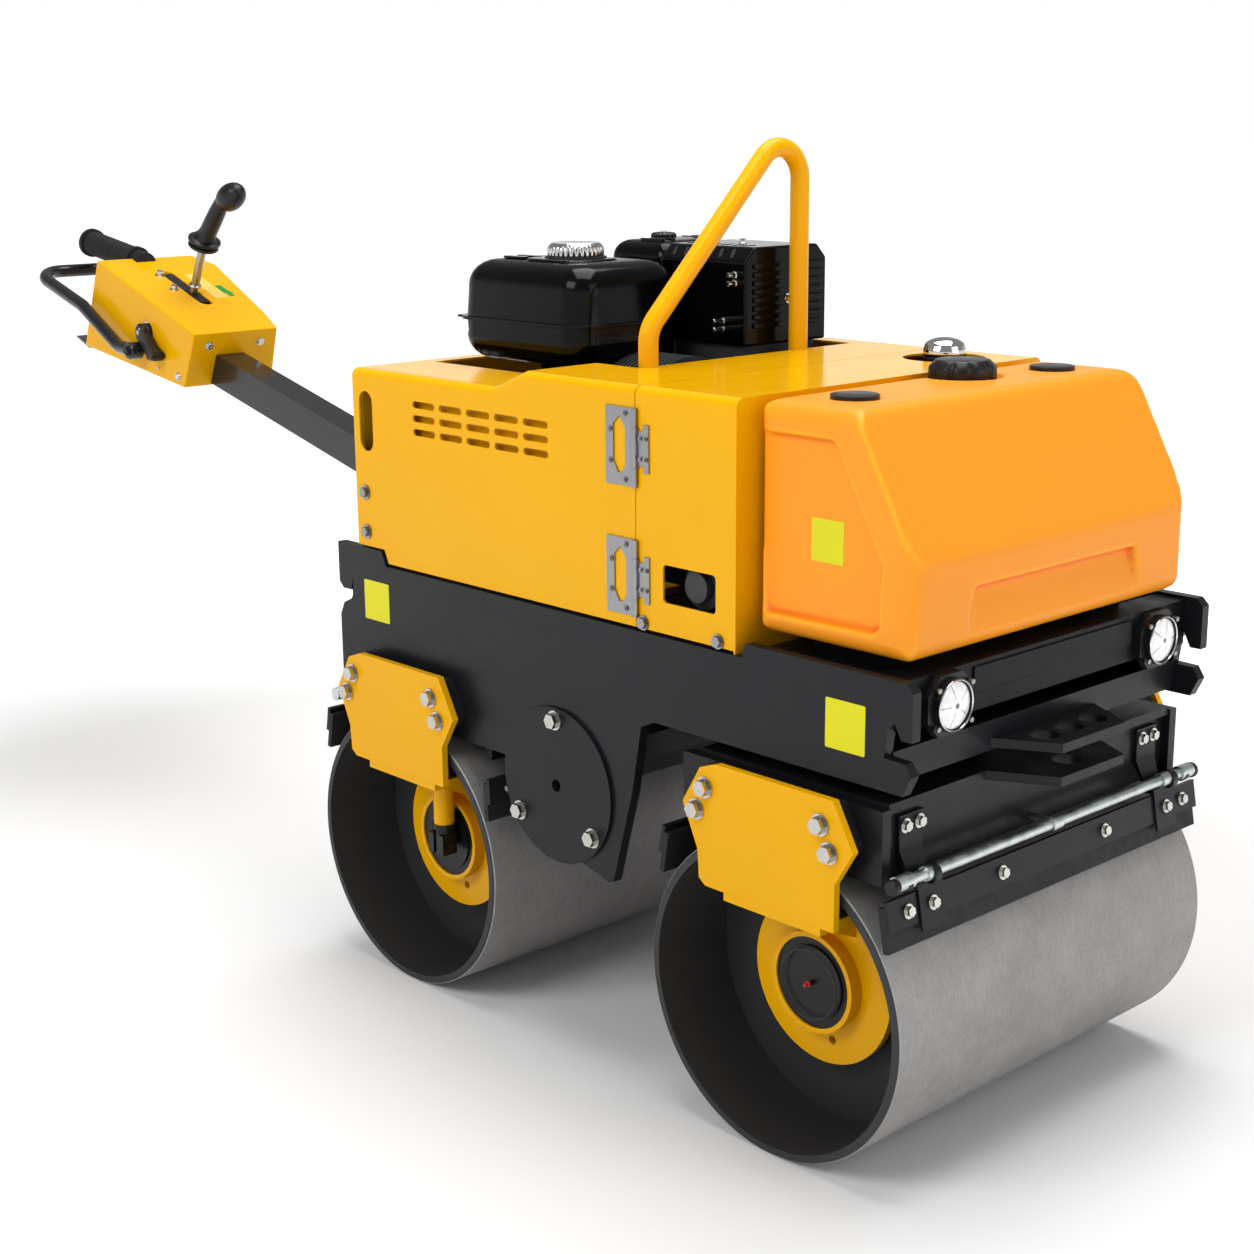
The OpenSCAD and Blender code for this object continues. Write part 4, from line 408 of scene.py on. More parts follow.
class Form:
    """Corners and faces of one piece."""

    def __init__(self):
        self.corners, self.faces = [], []

    def rings(self, rings, closed=False):
        """A skin over rings of equal count; the end rings are filled, or joined if closed."""
        first, count = len(self.corners), len(rings[0])
        for ring in rings:
            self.corners.extend(Vector(p) for p in ring)
        spans = len(rings) if closed else len(rings) - 1
        for k in range(spans):
            low, high = first + k * count, first + (k + 1) % len(rings) * count
            for i in range(count):
                j = (i + 1) % count
                self.faces.append((low + i, low + j, high + j, high + i))
        if not closed:
            last = first + (len(rings) - 1) * count
            self.faces.append(tuple(range(first + count - 1, first - 1, -1)))
            self.faces.append(tuple(range(last, last + count)))

    def turned(self, centre, axis, profile, sides=40, closed=False):
        """A turned form: profile is (radius, distance along the axis) points."""
        axis = Vector(axis).normalized()
        u = axis.orthogonal().normalized()
        v = axis.cross(u)
        turns = [2 * pi * i / sides for i in range(sides)]
        self.rings([[Vector(centre) + axis * h + (u * cos(a) + v * sin(a)) * max(r, LEAST_R)
                     for a in turns] for r, h in profile], closed)

    def fluted(self, centre, profile, flutes, share, steps=6):
        """An upright turned form with a fluted rim; profile adds a share of depth per point."""
        turns = [2 * pi * i / (flutes * steps) for i in range(flutes * steps)]
        self.rings([[Vector(centre) + Vector((cos(a), sin(a), 0)) * r
                     * (1 - share * d * max(0.0, cos(flutes * a)) ** 2) + Z_AXIS * h
                     for a in turns] for r, h, d in profile])

    def slab(self, outline, origin, u, v, low, high):
        """A flat outline of (u, v) points, thick from low to high along u cross v."""
        u, v, origin = Vector(u), Vector(v), Vector(origin)
        w = u.cross(v)
        self.rings([[origin + u * a + v * b + w * t for a, b in outline] for t in (low, high)])

    def tube(self, points, radius, sides):
        """A round tube along points."""
        points = [Vector(p) for p in points]
        last = len(points) - 1
        ahead = [(points[min(i + 1, last)] - points[max(i - 1, 0)]).normalized()
                 for i in range(len(points))]
        side = ahead[0].orthogonal().normalized()
        turns = [2 * pi * i / sides for i in range(sides)]
        rings = []
        for point, way in zip(points, ahead):
            side = (side - way * side.dot(way)).normalized()
            other = way.cross(side)
            rings.append([point + (side * cos(a) + other * sin(a)) * radius for a in turns])
        self.rings(rings)

    def bolt(self, place, axis, washer, head, height, sides=6):
        """A chamfered, dimpled head over a washer, if its radius isn't zero."""
        axis = Vector(axis).normalized()
        if washer:
            self.turned(place, axis, [(washer, 0), (washer, WASHER_T),
                                      (washer - WASHER_CHAMFER, WASHER_T + WASHER_CHAMFER)],
                        WASHER_SIDES)
        self.turned(Vector(place) + axis * WASHER_T, axis,
                    [(head * a, height * b) for a, b in HEAD_SHARES], sides)


def mesh_of(name, form):
    mesh = bpy.data.meshes.new(name)
    mesh.from_pydata([(FRONT_AXLE.x + p.x * MM, p.y * MM, p.z * MM) for p in form.corners],
                     [], form.faces)
    mesh.validate()
    mesh.update()
    return mesh


def added(name, data):
    """A new object in the scene."""
    piece = bpy.data.objects.new(name, data)
    bpy.context.scene.collection.objects.link(piece)
    return piece


def discard(piece):
    data = piece.data
    bpy.data.objects.remove(piece)
    bpy.data.meshes.remove(data)


def finish_piece(piece, material, body, slot, width=0.0, angle=35, segments=2):
    """Gives a piece its finish, edge radius and body; slot is not used."""
    mesh = piece.data
    mesh.materials.clear()
    mesh.materials.append(material)
    mesh.shade_smooth()
    mesh.set_sharp_from_angle(angle=radians(angle))
    if width:
        soften_edges(piece, width, segments, 30)
    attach(piece, body)
    return piece


def make(name, form, *finish, **edges):
    """A new piece, with what finish_piece takes after the piece."""
    return finish_piece(added(name, mesh_of(name, form)), *finish, **edges)


def settle(piece):
    """Applies a piece's modifiers to its mesh."""
    bpy.context.view_layer.update()
    seen = piece.evaluated_get(bpy.context.evaluated_depsgraph_get())
    done = bpy.data.meshes.new_from_object(seen)
    piece.modifiers.clear()
    old, piece.data = piece.data, done
    bpy.data.meshes.remove(old)


def carved(name, base, within, less=(), plus=()):
    """A form kept within some forms, less others, plus others; the result is a plain mesh."""
    body, tools = added(name, mesh_of(name, base)), []
    for operation, forms in (("INTERSECT", within), ("DIFFERENCE", less), ("UNION", plus)):
        for form in forms:
            tools.append(added("tool", mesh_of("tool", form)))
            cut = body.modifiers.new("cut", "BOOLEAN")
            cut.operation, cut.solver, cut.object = operation, "EXACT", tools[-1]
    settle(body)
    for tool in tools:
        discard(tool)
    return body


def form_again(piece):
    """A carved piece's mesh as a form; the piece goes."""
    form = Form()
    form.corners = [Vector(((v.co.x - FRONT_AXLE.x) / MM, v.co.y / MM, v.co.z / MM))
                    for v in piece.data.vertices]
    form.faces = [tuple(p.vertices) for p in piece.data.polygons]
    discard(piece)
    return form


def soften(piece, voxel, rounds):
    """Turns a piece into an even skin with soft edges, as a moulding has."""
    even = piece.modifiers.new("even", "REMESH")
    even.mode, even.voxel_size = "VOXEL", voxel * MM
    soft = piece.modifiers.new("soft", "SMOOTH")
    soft.factor, soft.iterations = 0.5, rounds
    settle(piece)


def rounded(centres, radius, steps=8):
    """The outline round circles of one radius at centres that go counterclockwise."""
    points = []
    for i, (x, y) in enumerate(centres):
        before, after = centres[i - 1], centres[(i + 1) % len(centres)]
        a = atan2(y - before[1], x - before[0]) - pi / 2
        b = atan2(after[1] - y, after[0] - x) - pi / 2
        while b < a:
            b += 2 * pi
        for k in range(steps + 1):
            t = a + (b - a) * k / steps
            points.append((x + radius * cos(t), y + radius * sin(t)))
    return points


def round_box(x1, x2, y1, y2, radius, steps=8):
    r = radius
    return rounded([(x1 + r, y1 + r), (x2 - r, y1 + r), (x2 - r, y2 - r), (x1 + r, y2 - r)],
                   r, steps)


def side_slab(form, outline, y1, y2):
    """An outline of (x, z) points between two places across."""
    form.slab(outline, (0, 0, 0), X_AXIS, Z_AXIS, -y2, -y1)


def flank(form, outline, side, a, b):
    """An outline of (x, z) points between two distances from the middle, on one side."""
    side_slab(form, outline, *sorted((side * a, side * b)))


def top_slab(form, outline, z1, z2):
    """An outline of (x, y) points between two heights."""
    form.slab(outline, (0, 0, 0), X_AXIS, Y_AXIS, z1, z2)


def front_slab(form, outline, x1, x2):
    """An outline of (y, z) points between two places along."""
    form.slab(outline, (0, 0, 0), Y_AXIS, Z_AXIS, x1, x2)


def form_of(shaper, *values):
    form = Form()
    shaper(form, *values)
    return form


def turned(*values):
    return form_of(Form.turned, *values)


def disc(place, axis, radius, low, high, sides=48):
    return turned(place, axis, [(radius, low), (radius, high)], sides)


# Water tank: a soft moulding with sunk sides, a scoop in its face and wells for its caps
TANK_BACK, TANK_FACE, TANK_LOW, TANK_TOP, TANK_SIDE = -69, 184, 674, 965, 285
TANK_LIP, TANK_KINK, TANK_ROUND, TANK_SUNK = 100, 785, 26, 12
TANK_PANEL = ((-45, 716), (117, 719), (119, TANK_KINK), (50, 912), (-58, 912))
TANK_PANEL_R = 14
TANK_VOXEL, TANK_SMOOTHING = 3.6, 6
TANK_CLEAR_X, TANK_CLEAR_Z = (-80, 200), (660, 980)  # spans that clear the tank
OVER = 9  # how far a cutting form stands out
SCOOP_TOP, SCOOP_SHALLOW, SCOOP_DEEP = 752, 1, 15
SCOOP_WIDE, SCOOP_NARROW, SCOOP_X = 185, 166, (150, 200)
CAP_X, CAP_Y, CAP_R = -27, 63, 45
CAP_WELL, CAP_FOOT, CAP_FOOT_SHARE, CAP_FOOT_RISE, CAP_SUNK = 8, 12, 0.7, 3.5, 7.5
CAP_LOBES, CAP_LOBE_DEPTH, CAP_STEPS = 10, 0.085, 10
CAP_PROFILE = ((CAP_R - 1, 0, 1), (CAP_R, 1.5, 1), (CAP_R, 18, 1), (CAP_R * 0.985, 20, 0.8),
               (CAP_R * 0.82, 27, 0.5), (CAP_R * 0.79, 28.4, 0.3), (CAP_R * 0.74, 28.9, 0))
PLUG_X, PLUG_Y, PLUG_R, PLUG_GAP, PLUG_WELL, PLUG_RISE = 16, 200, 30, 1.5, 4, 3
PLUG_PROFILE = ((29.8, 0), (30.2, 0.5), (30, 1.4), (28.5, 2), (2, 2.1))
TANK_PATCH = (15, 66, 776, 829)
PATCH_ROUND, PATCH_T = 2, 0.5


def tank_scoop():
    """The hollow low in the tank's face."""
    wedge = [(TANK_FACE - SCOOP_SHALLOW, TANK_LOW), (TANK_FACE + OVER, TANK_LOW),
             (TANK_FACE + OVER, SCOOP_TOP), (TANK_FACE - SCOOP_DEEP, SCOOP_TOP)]
    mouth = [(-SCOOP_WIDE, TANK_LOW - OVER), (SCOOP_WIDE, TANK_LOW - OVER),
             (SCOOP_NARROW, SCOOP_TOP + 1), (-SCOOP_NARROW, SCOOP_TOP + 1)]
    reach = SCOOP_WIDE + 5
    return form_again(carved("scoop", form_of(side_slab, wedge, -reach, reach),
                             [form_of(front_slab, mouth, *SCOOP_X)]))


def water_tank():
    r, half, inner = TANK_ROUND, TANK_SIDE, TANK_SIDE - TANK_SUNK
    side = rounded([(TANK_BACK + r, TANK_LOW + r), (TANK_FACE - 4 - r, TANK_LOW + r),
                    (TANK_FACE - r, TANK_KINK), (TANK_LIP - r, TANK_TOP - r),
                    (TANK_BACK + r, TANK_TOP - r)], r)
    face = round_box(-half, half, TANK_LOW, TANK_TOP, r)
    plan = round_box(TANK_BACK, TANK_FACE, -half, half, r)
    panel = rounded(TANK_PANEL, TANK_PANEL_R)
    cap = (CAP_X, CAP_Y, 0)
    within = [form_of(front_slab, face, *TANK_CLEAR_X), form_of(top_slab, plan, *TANK_CLEAR_Z)]
    less = [form_of(side_slab, panel, -half - OVER, -inner),
            form_of(side_slab, panel, inner, half + OVER), tank_scoop(),
            disc(cap, Z_AXIS, CAP_R + CAP_WELL, TANK_TOP - CAP_WELL, TANK_TOP + OVER)]
    less += [disc((PLUG_X, s * PLUG_Y, 0), Z_AXIS, PLUG_R + PLUG_GAP, TANK_TOP - PLUG_WELL,
                  TANK_TOP + OVER) for s in SIDES]
    foot = disc(cap, Z_AXIS, CAP_R * CAP_FOOT_SHARE, TANK_TOP - CAP_FOOT, TANK_TOP + CAP_FOOT_RISE)
    tank = carved("tank_skin", form_of(side_slab, side, -half, half), within, less, [foot])
    soften(tank, TANK_VOXEL, TANK_SMOOTHING)
    finish_piece(tank, ORANGE, "chassis", "tank_orange", angle=60)
    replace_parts(tank, "water_tank")


def tank_fittings():
    """The plugs' faces, the lobed filler cap and a plain patch on each side."""
    faces = Form()
    for s in SIDES:
        faces.turned((PLUG_X, s * PLUG_Y, TANK_TOP + PLUG_RISE), Z_AXIS, PLUG_PROFILE)
    make("plug_faces", faces, BLACK, "chassis", "black_plastic")
    cap = form_of(Form.fluted, (CAP_X, CAP_Y, TANK_TOP - CAP_SUNK), CAP_PROFILE, CAP_LOBES,
                  CAP_LOBE_DEPTH, CAP_STEPS)
    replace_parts(make("tank_cap", cap, BLACK, "water_cap", "black_plastic", angle=45), "water_cap")
    patches = Form()
    inner = TANK_SIDE - TANK_SUNK
    for s in SIDES:
        flank(patches, round_box(*TANK_PATCH, PATCH_ROUND), s, inner, inner + PATCH_T)
    make("tank_patches", patches, LABEL, "chassis", "body_yellow")


DOME_PLACE, DOME_R, DOME_WALL, DOME_EDGE, DOME_SHRINK = (-173, 209, 965.4), 30.8, 14.2, 0.8, 1
DOME_STEPS = range(6, 90, 7)


def filler():
    """The chrome dome of the hydraulic tank's cap."""
    r, wall = DOME_R, DOME_WALL
    profile = [(r - DOME_EDGE, 0), (r, DOME_EDGE), (r, wall - 1), (r - DOME_EDGE, wall)]
    profile += [((r - DOME_SHRINK) * cos(radians(a)), wall + wall * sin(radians(a)))
                for a in DOME_STEPS]
    dome = turned(DOME_PLACE, Z_AXIS, profile, 64)
    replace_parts(make("filler_dome", dome, CHROME, "hydraulic_cap", "chrome_bright", angle=50),
                "hydraulic_cap")


# Fuel tank: two pressed halves, a flange, a raised pad and a fluted cap
FUEL_X, FUEL_Y, FUEL_SEAM, FUEL_ROUND = (-824, -543), (-149, 67), 1007, 42
LID_WALL, LID_DRAFT, LID_RIM, LID_TOP = 42, 3, (48, 38, 40), (1095, 70)
TRAY_WALL, TRAY_DRAFT, TRAY_RIM = 20, 1, (26, 36, 34)
FUEL_FLANGE, FUEL_TAB, FUEL_TAB_LONG, FUEL_TAB_Y = 6, 10, 42, (8, 38)
PAD_BOX, PAD_Z, PAD_RISE, PAD_INSET, PAD_ROUND = (-718, -596, -112, -8), 1092, 4.5, 6, 28
FUEL_RIBS = (-92, -66, 14, 38), (-772, -722), 7, (1094, 1097)
NECK, FUEL_CAP = (-660, -50, 1095.5), (-660, -50, 1099.2)
NECK_PROFILE = ((46, 0), (46, 2.4), (44, 3.2), (30, 3.2))
FUEL_CAP_PROFILE = ((40.5, 0, 1), (42, 1.2, 1), (42, 12, 1), (41, 13.5, 0.4), (37.5, 18, 0),
                    (36, 19, 0), (33.5, 18.4, 0), (12, 19.6, 0))
FUEL_CAP_FLUTES, FUEL_CAP_DEPTH = 32, 0.055


def loft_box(form, low, high, near, far, levels, radius):
    """Rounded rectangles stacked by (height, inset) levels."""
    form.rings([[(x, y, z) for x, y in round_box(low + inset, high - inset, near + inset,
                                                 far - inset, max(radius - inset * 0.6, 4))]
                for z, inset in levels])


def rim(base, rise, inset, steps=6):
    """Levels of a quarter round that starts at base and ends rise higher and inset in."""
    turns = [pi / 2 * k / steps for k in range(steps + 1)]
    return [(base + rise * sin(a), inset * (1 - cos(a))) for a in turns]


def ribs(form, places, span, half, heights):
    """Flat ribs with round ends, at places across."""
    for y in places:
        top_slab(form, round_box(*span, y - half, y + half, half - 0.5), *heights)


def fuel_tank():
    (low, high), (near, far), seam = FUEL_X, FUEL_Y, FUEL_SEAM
    shell = Form()
    lid = [(0, 0), (LID_WALL, LID_DRAFT)] + [(z, LID_DRAFT + i) for z, i in rim(*LID_RIM)]
    lid = [(seam + z, inset) for z, inset in lid] + [LID_TOP]
    loft_box(shell, low, high, near, far, lid, FUEL_ROUND)
    tray = [(0, 0), (TRAY_WALL, TRAY_DRAFT)] + rim(*TRAY_RIM)
    tray = [(seam - z, inset) for z, inset in reversed(tray)]
    loft_box(shell, low, high, near, far, tray, FUEL_ROUND)
    make("fuel_shell", shell, ENGINE, "chassis", "engine_black", angle=40)
    trim = Form()
    flange = FUEL_FLANGE
    top_slab(trim, round_box(low - flange, high + flange, near - flange, far + flange, 44),
             seam - 3, seam + 2.5)
    top_slab(trim, round_box(low - FUEL_TAB, low + FUEL_TAB_LONG, near + FUEL_TAB_Y[0],
                             near + FUEL_TAB_Y[1], flange), seam - 2, seam + 1.6)
    loft_box(trim, *PAD_BOX, rim(PAD_Z, PAD_RISE, PAD_INSET), PAD_ROUND)
    ribs(trim, *FUEL_RIBS)
    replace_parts(make("fuel_trim", trim, ENGINE, "chassis", "engine_black", 0.8), "fuel_tank")
    ring = turned(NECK, Z_AXIS, NECK_PROFILE, 60)
    make("fuel_neck_ring", ring, RUBBER, "chassis", "black_rubber")
    cap = form_of(Form.fluted, FUEL_CAP, FUEL_CAP_PROFILE, FUEL_CAP_FLUTES, FUEL_CAP_DEPTH)
    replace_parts(make("fuel_screw_cap", cap, SILVER, "fuel_cap", "zinc", angle=40), "fuel_cap")


# Air cleaner: a box with a seam, ribs and a knob on its stud
AIR_BOX, AIR_ROUND = (-745, -612, 86, 248), 22
AIR_MIDDLE, AIR_DRAFT, AIR_FOOT, AIR_RIM = 1020, 3, (1010, 8, 10), (1088, 26, 26)
AIR_WALL, AIR_TOP = [(1030, 0), (1085, AIR_DRAFT)], (1116, 50)
AIR_SEAM, AIR_SEAM_Z = (-749, -608, 82, 252), (1040, 1046)
AIR_RIBS = (112, 134, 200, 222), (-690, -640), 4, (1110, 1117)
AIR_NECK, AIR_NECK_Z, AIR_NECK_R = (-706, -634, 118, 216), (985, 1014), 18
KNOB_PLACE, KNOB_FLUTES, KNOB_DEPTH, STUD_R, STUD_LONG = (-698, 167, 1112), 14, 0.1, 5, 13.5
KNOB_PROFILE = ((19, 0, 1), (20, 1, 1), (20, 8, 1), (17, 10.5, 0.3), (12, 11.2, 0))


def air_box():
    box = Form()
    levels = [(2 * AIR_MIDDLE - z, inset) for z, inset in reversed(rim(*AIR_FOOT))]
    levels += AIR_WALL + [(z, AIR_DRAFT + inset) for z, inset in rim(*AIR_RIM)] + [AIR_TOP]
    loft_box(box, *AIR_BOX, levels, AIR_ROUND)
    top_slab(box, round_box(*AIR_SEAM, AIR_ROUND + 2), *AIR_SEAM_Z)
    ribs(box, *AIR_RIBS)
    loft_box(box, *AIR_NECK, [(z, 0) for z in AIR_NECK_Z], AIR_NECK_R)
    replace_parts(make("air_box", box, ENGINE, "chassis", "engine_black", 0.8), "air_cleaner")
    knob = form_of(Form.fluted, KNOB_PLACE, KNOB_PROFILE, KNOB_FLUTES, KNOB_DEPTH)
    make("air_knob", knob, BLACK, "chassis", "black_plastic")
    make("air_stud", disc(KNOB_PLACE, Z_AXIS, STUD_R, 0, STUD_LONG, 6), SILVER, "chassis",
         "zinc", 0.5)


# Muffler guard: a pressed cover with louvres, dark strips of painted shade where its slit openings
# are, and bright studs, on a cast base
GUARD_REAR, GUARD_FACE, GUARD_NEAR, GUARD_FAR = -607, -430, 73, 247
GUARD_LOW, GUARD_TOP, GUARD_CUT = 971, 1113, 20
LOUVRES, LOUVRE_Z, LOUVRE_PITCH, LOUVRE_TALL, LOUVRE_OUT = 8, 996, 12.2, 8.4, 3.4
LOUVRE_SPANS = ((GUARD_NEAR + 15, GUARD_NEAR + 77), (GUARD_FAR - 58, GUARD_FAR - 12))
GUARD_BASE, GUARD_BASE_Z = (-596, -440, 84, 238, 12), (900, 972)
SLITS, SLIT_X, SLIT_PITCH, SLIT_LEAN = 6, -585, 24, 0.35
SLIT, TOP_SLIT, TOP_SLIT_Y = (-3.2, 3.2, -9, 9, 3.1, 4), (-3.2, 3.2, -11, 11, 3.1, 4), 46
GUARD_STUDS = (  # x, heights, profile
    (-449, (1062, 1074), ((5.5, 0), (5.5, 5), (4, 5.5), (4, 18), (3, 19))),
    (-466, (996, 1008), ((5, 0), (5, 12), (3.4, 12.5), (3.4, 30), (2.6, 31))),
)


def guard():
    cut, slot = GUARD_CUT, "engine_black"
    cover = Form()
    front_slab(cover, [(GUARD_NEAR, GUARD_LOW), (GUARD_FAR, GUARD_LOW),
                       (GUARD_FAR, GUARD_TOP - cut), (GUARD_FAR - cut, GUARD_TOP),
                       (GUARD_NEAR + cut, GUARD_TOP), (GUARD_NEAR, GUARD_TOP - cut)],
               GUARD_REAR, GUARD_FACE)
    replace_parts(make("guard_cover", cover, ENGINE, "chassis", slot, 4, segments=3), "muffler_guard")
    blades = Form()
    for i in range(LOUVRES):
        z = LOUVRE_Z + i * LOUVRE_PITCH
        for y1, y2 in LOUVRE_SPANS:
            front_slab(blades, round_box(y1, y2, z, z + LOUVRE_TALL, 4.1), GUARD_FACE - 1,
                       GUARD_FACE + LOUVRE_OUT)
    make("guard_louvres", blades, ENGINE, "chassis", slot, 1.8, segments=3)
    block = form_of(top_slab, round_box(*GUARD_BASE), *GUARD_BASE_Z)
    make("guard_base", block, CASTING, "chassis", "cast_grey", 1.5)


def guard_marks():
    """Dark matte strips of painted shade where the guard's top and its chamfers have slit openings,
    and the bright fasteners.
    """
    # matte strips that stand for the shade inside slit openings: painted shade
    slit_shade_strips = Form()
    short, long = round_box(*SLIT), round_box(*TOP_SLIT)
    slope, far_slope = Vector((0, 1, 1)).normalized(), Vector((0, -1, 1)).normalized()
    across = (X_AXIS + slope * SLIT_LEAN).normalized()
    along = (slope - X_AXIS * SLIT_LEAN).normalized()
    half, height = GUARD_CUT / 2, GUARD_TOP - GUARD_CUT / 2
    for i in range(SLITS):
        x = SLIT_X + i * SLIT_PITCH
        slit_shade_strips.slab(short, Vector((x, 0, 0)) + Vector((0, GUARD_NEAR + half, height)), across,
                   along, -0.5, 0.7)
        slit_shade_strips.slab(short, (x, GUARD_FAR - half, height), X_AXIS, far_slope, -0.7, 0.7)
        slit_shade_strips.slab(long, (x, GUARD_NEAR + TOP_SLIT_Y, GUARD_TOP), X_AXIS, Y_AXIS, -0.5, 0.5)
    make("guard_slit_painted_shade", slit_shade_strips, RUBBER, "chassis", "black_rubber")
    bright = Form()
    bright.bolt((GUARD_FACE - 0.5, 164, 1036), X_AXIS, 8, 5.5, 5)
    bright.bolt((-520, 160, GUARD_TOP - 0.5), Z_AXIS, 7, 5, 6)
    for x, heights, profile in GUARD_STUDS:
        for z in heights:
            bright.turned((x, GUARD_NEAR + 1, z), -Y_AXIS, profile, 20)
    make("guard_studs", bright, SILVER, "chassis", "zinc", angle=30)


# Cylinder: a block with fins whose tops are arched
FINS, FIN_X, FIN_PITCH, FIN_T, FIN_NEAR, FIN_FAR, FIN_STEP = 13, -548, 8, 3.2, -96, 54, 10
FIN_LOW, FIN_SHOULDER, FIN_RISE, FIN_FULLNESS = 915, 934, 30, 0.6
CYLINDER = ((-90, FIN_LOW), (48, FIN_LOW), (48, 938), (20, 956), (-60, 956), (-90, 938))
CYLINDER_X = (-548, -449)


def fin_top(y):
    if not FIN_NEAR < y < FIN_FAR:
        return FIN_SHOULDER
    share = sin(pi * (y - FIN_NEAR) / (FIN_FAR - FIN_NEAR))
    return FIN_SHOULDER + FIN_RISE * share ** FIN_FULLNESS


def cylinder():
    fins = Form()
    arch = [(y, fin_top(y)) for y in range(FIN_NEAR, FIN_FAR + 1, FIN_STEP)]
    outline = [(FIN_NEAR, FIN_LOW), (FIN_FAR, FIN_LOW)] + list(reversed(arch))
    for i in range(FINS):
        x = FIN_X + i * FIN_PITCH
        front_slab(fins, outline, x, x + FIN_T)
    front_slab(fins, CYLINDER, *CYLINDER_X)
    make("cylinder_fins", fins, CASTING, "chassis", "cast_grey")


# Control box and what is on it
BOX_FRONT, BOX_FRONT_Z, BOX_REAR, BOX_REAR_Z = -1692, 915, -2042, 1035.5
BOX_TAIL, BOX_TAIL_Z, BOX_FOOT, BOX_FOOT_Z = -2115, 864, -1740, 811
BOX_NEAR, BOX_FAR, BOX_WIDEST, BOX_OVER = -87, 126, 150, 5
BOX_CUT_Z, SLOT_CUT_Z = (780, 1060), (925, 1060)
SLOT_X, SLOT_Y, SLOT_HALF = (-1966, -1826), 22, 12.5
LINER_HALF, LINER_GAP, LINER_ROUND, LINER_DEPTH = 73, 0.3, 6, (-30, -2.5)
SLOPE_X = (-2000, -1800)  # two places that give the direction of the top
BOX_SLOPE = (BOX_REAR_Z - BOX_FRONT_Z) / (BOX_FRONT - BOX_REAR)
TOP_BOLTS, FACE_BOLTS = ((-1955, 0), (-1887, -10)), ((-1703.2, -50, 890), (-1703.2, 62, 890))
SIDE_BOLT, SIDE_PIN = (-1757, BOX_NEAR + 0.3, 831), (-1829, BOX_NEAR + 0.3, 841)
BOX_PLATE, BOX_PLATE_PLACE, ARROW_PLACE = (-61, 61, -15, 15, 2), (-1894, 66), (-1866, 92)
ARROW = ((-27, -9), (10, -9), (10, -5), (27, -5), (27, 5), (14, 5), (14, 11), (2, 5), (-27, 5))
TAIL_PLATE, TAIL_PLATE_Y = ((-2160, 877), (-2110, 858), (-2108, 861), (-2158, 880)), (-81, 88)


def on_box(x, y, lift=0.0):
    """A place on the control box's sloping top."""
    return Vector((x, y, BOX_FRONT_Z + (BOX_FRONT - x) * BOX_SLOPE + lift))


def control_box():
    side = [(BOX_TAIL, BOX_TAIL_Z), (BOX_FOOT, BOX_FOOT_Z), (BOX_FRONT, BOX_FRONT_Z),
            (BOX_REAR, BOX_REAR_Z)]
    tail, front = BOX_TAIL - BOX_OVER, BOX_FRONT + BOX_OVER
    plan = [(tail, BOX_NEAR), (front, BOX_NEAR), (front, 94), (-1755, 111),
            (-1992, BOX_WIDEST), (BOX_REAR, BOX_FAR), (tail, BOX_FAR)]
    (rear, ahead), low, high = SLOT_X, SLOT_Y - 1, SLOT_Y + 1
    slot = rounded([(rear, low), (ahead, low), (ahead, high), (rear, high)], SLOT_HALF - 1, 4)
    box = carved("tiller_box", form_of(side_slab, side, BOX_NEAR, BOX_WIDEST),
                 [form_of(top_slab, plan, *BOX_CUT_Z)], [form_of(top_slab, slot, *SLOT_CUT_Z)])
    finish_piece(box, YELLOW, "tiller", "body_yellow", 3.5, segments=3)
    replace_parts(box, "control_box")
    box_trim()
    make("tail_plate", form_of(side_slab, TAIL_PLATE, *TAIL_PLATE_Y), STAINLESS, "tiller",
         "stainless", 0.4)


def box_trim():
    """The slot's liner, the fasteners, and the plain plate and arrow beside the slot."""
    along = (on_box(SLOPE_X[0], 0) - on_box(SLOPE_X[1], 0)).normalized()
    up = along.cross(-Y_AXIS).normalized()
    half = SLOT_HALF + LINER_GAP
    liner = form_of(Form.slab, round_box(-LINER_HALF, LINER_HALF, -half, half, LINER_ROUND),
                    on_box(sum(SLOT_X) / 2, SLOT_Y), -along, Y_AXIS, *LINER_DEPTH)
    make("slot_liner", liner, RUBBER, "tiller", "black_rubber")
    bright = Form()
    for x, y in TOP_BOLTS:
        bright.bolt(on_box(x, y, -0.3), up, 9, 7, 9)
    ahead = Vector((BOX_FRONT_Z - BOX_FOOT_Z, 0, BOX_FOOT - BOX_FRONT)).normalized()
    for place in FACE_BOLTS:
        bright.bolt(place, ahead, 8.5, 6.5, 4, 24)
    bright.bolt(SIDE_BOLT, -Y_AXIS, 8, 6, 4, 24)
    bright.bolt(SIDE_PIN, -Y_AXIS, 0, 2.6, 2, 16)
    make("box_fasteners", bright, SILVER, "tiller", "zinc", angle=30)
    film = form_of(Form.slab, round_box(*BOX_PLATE), on_box(*BOX_PLATE_PLACE), -along, Y_AXIS,
                   0.05, 0.5)
    make("box_plate", film, PALE, "tiller", "body_yellow")
    arrow = form_of(Form.slab, ARROW, on_box(*ARROW_PLACE), -along, Y_AXIS, 0.05, 0.6)
    make("box_arrow", arrow, GREEN, "tiller", "body_yellow")


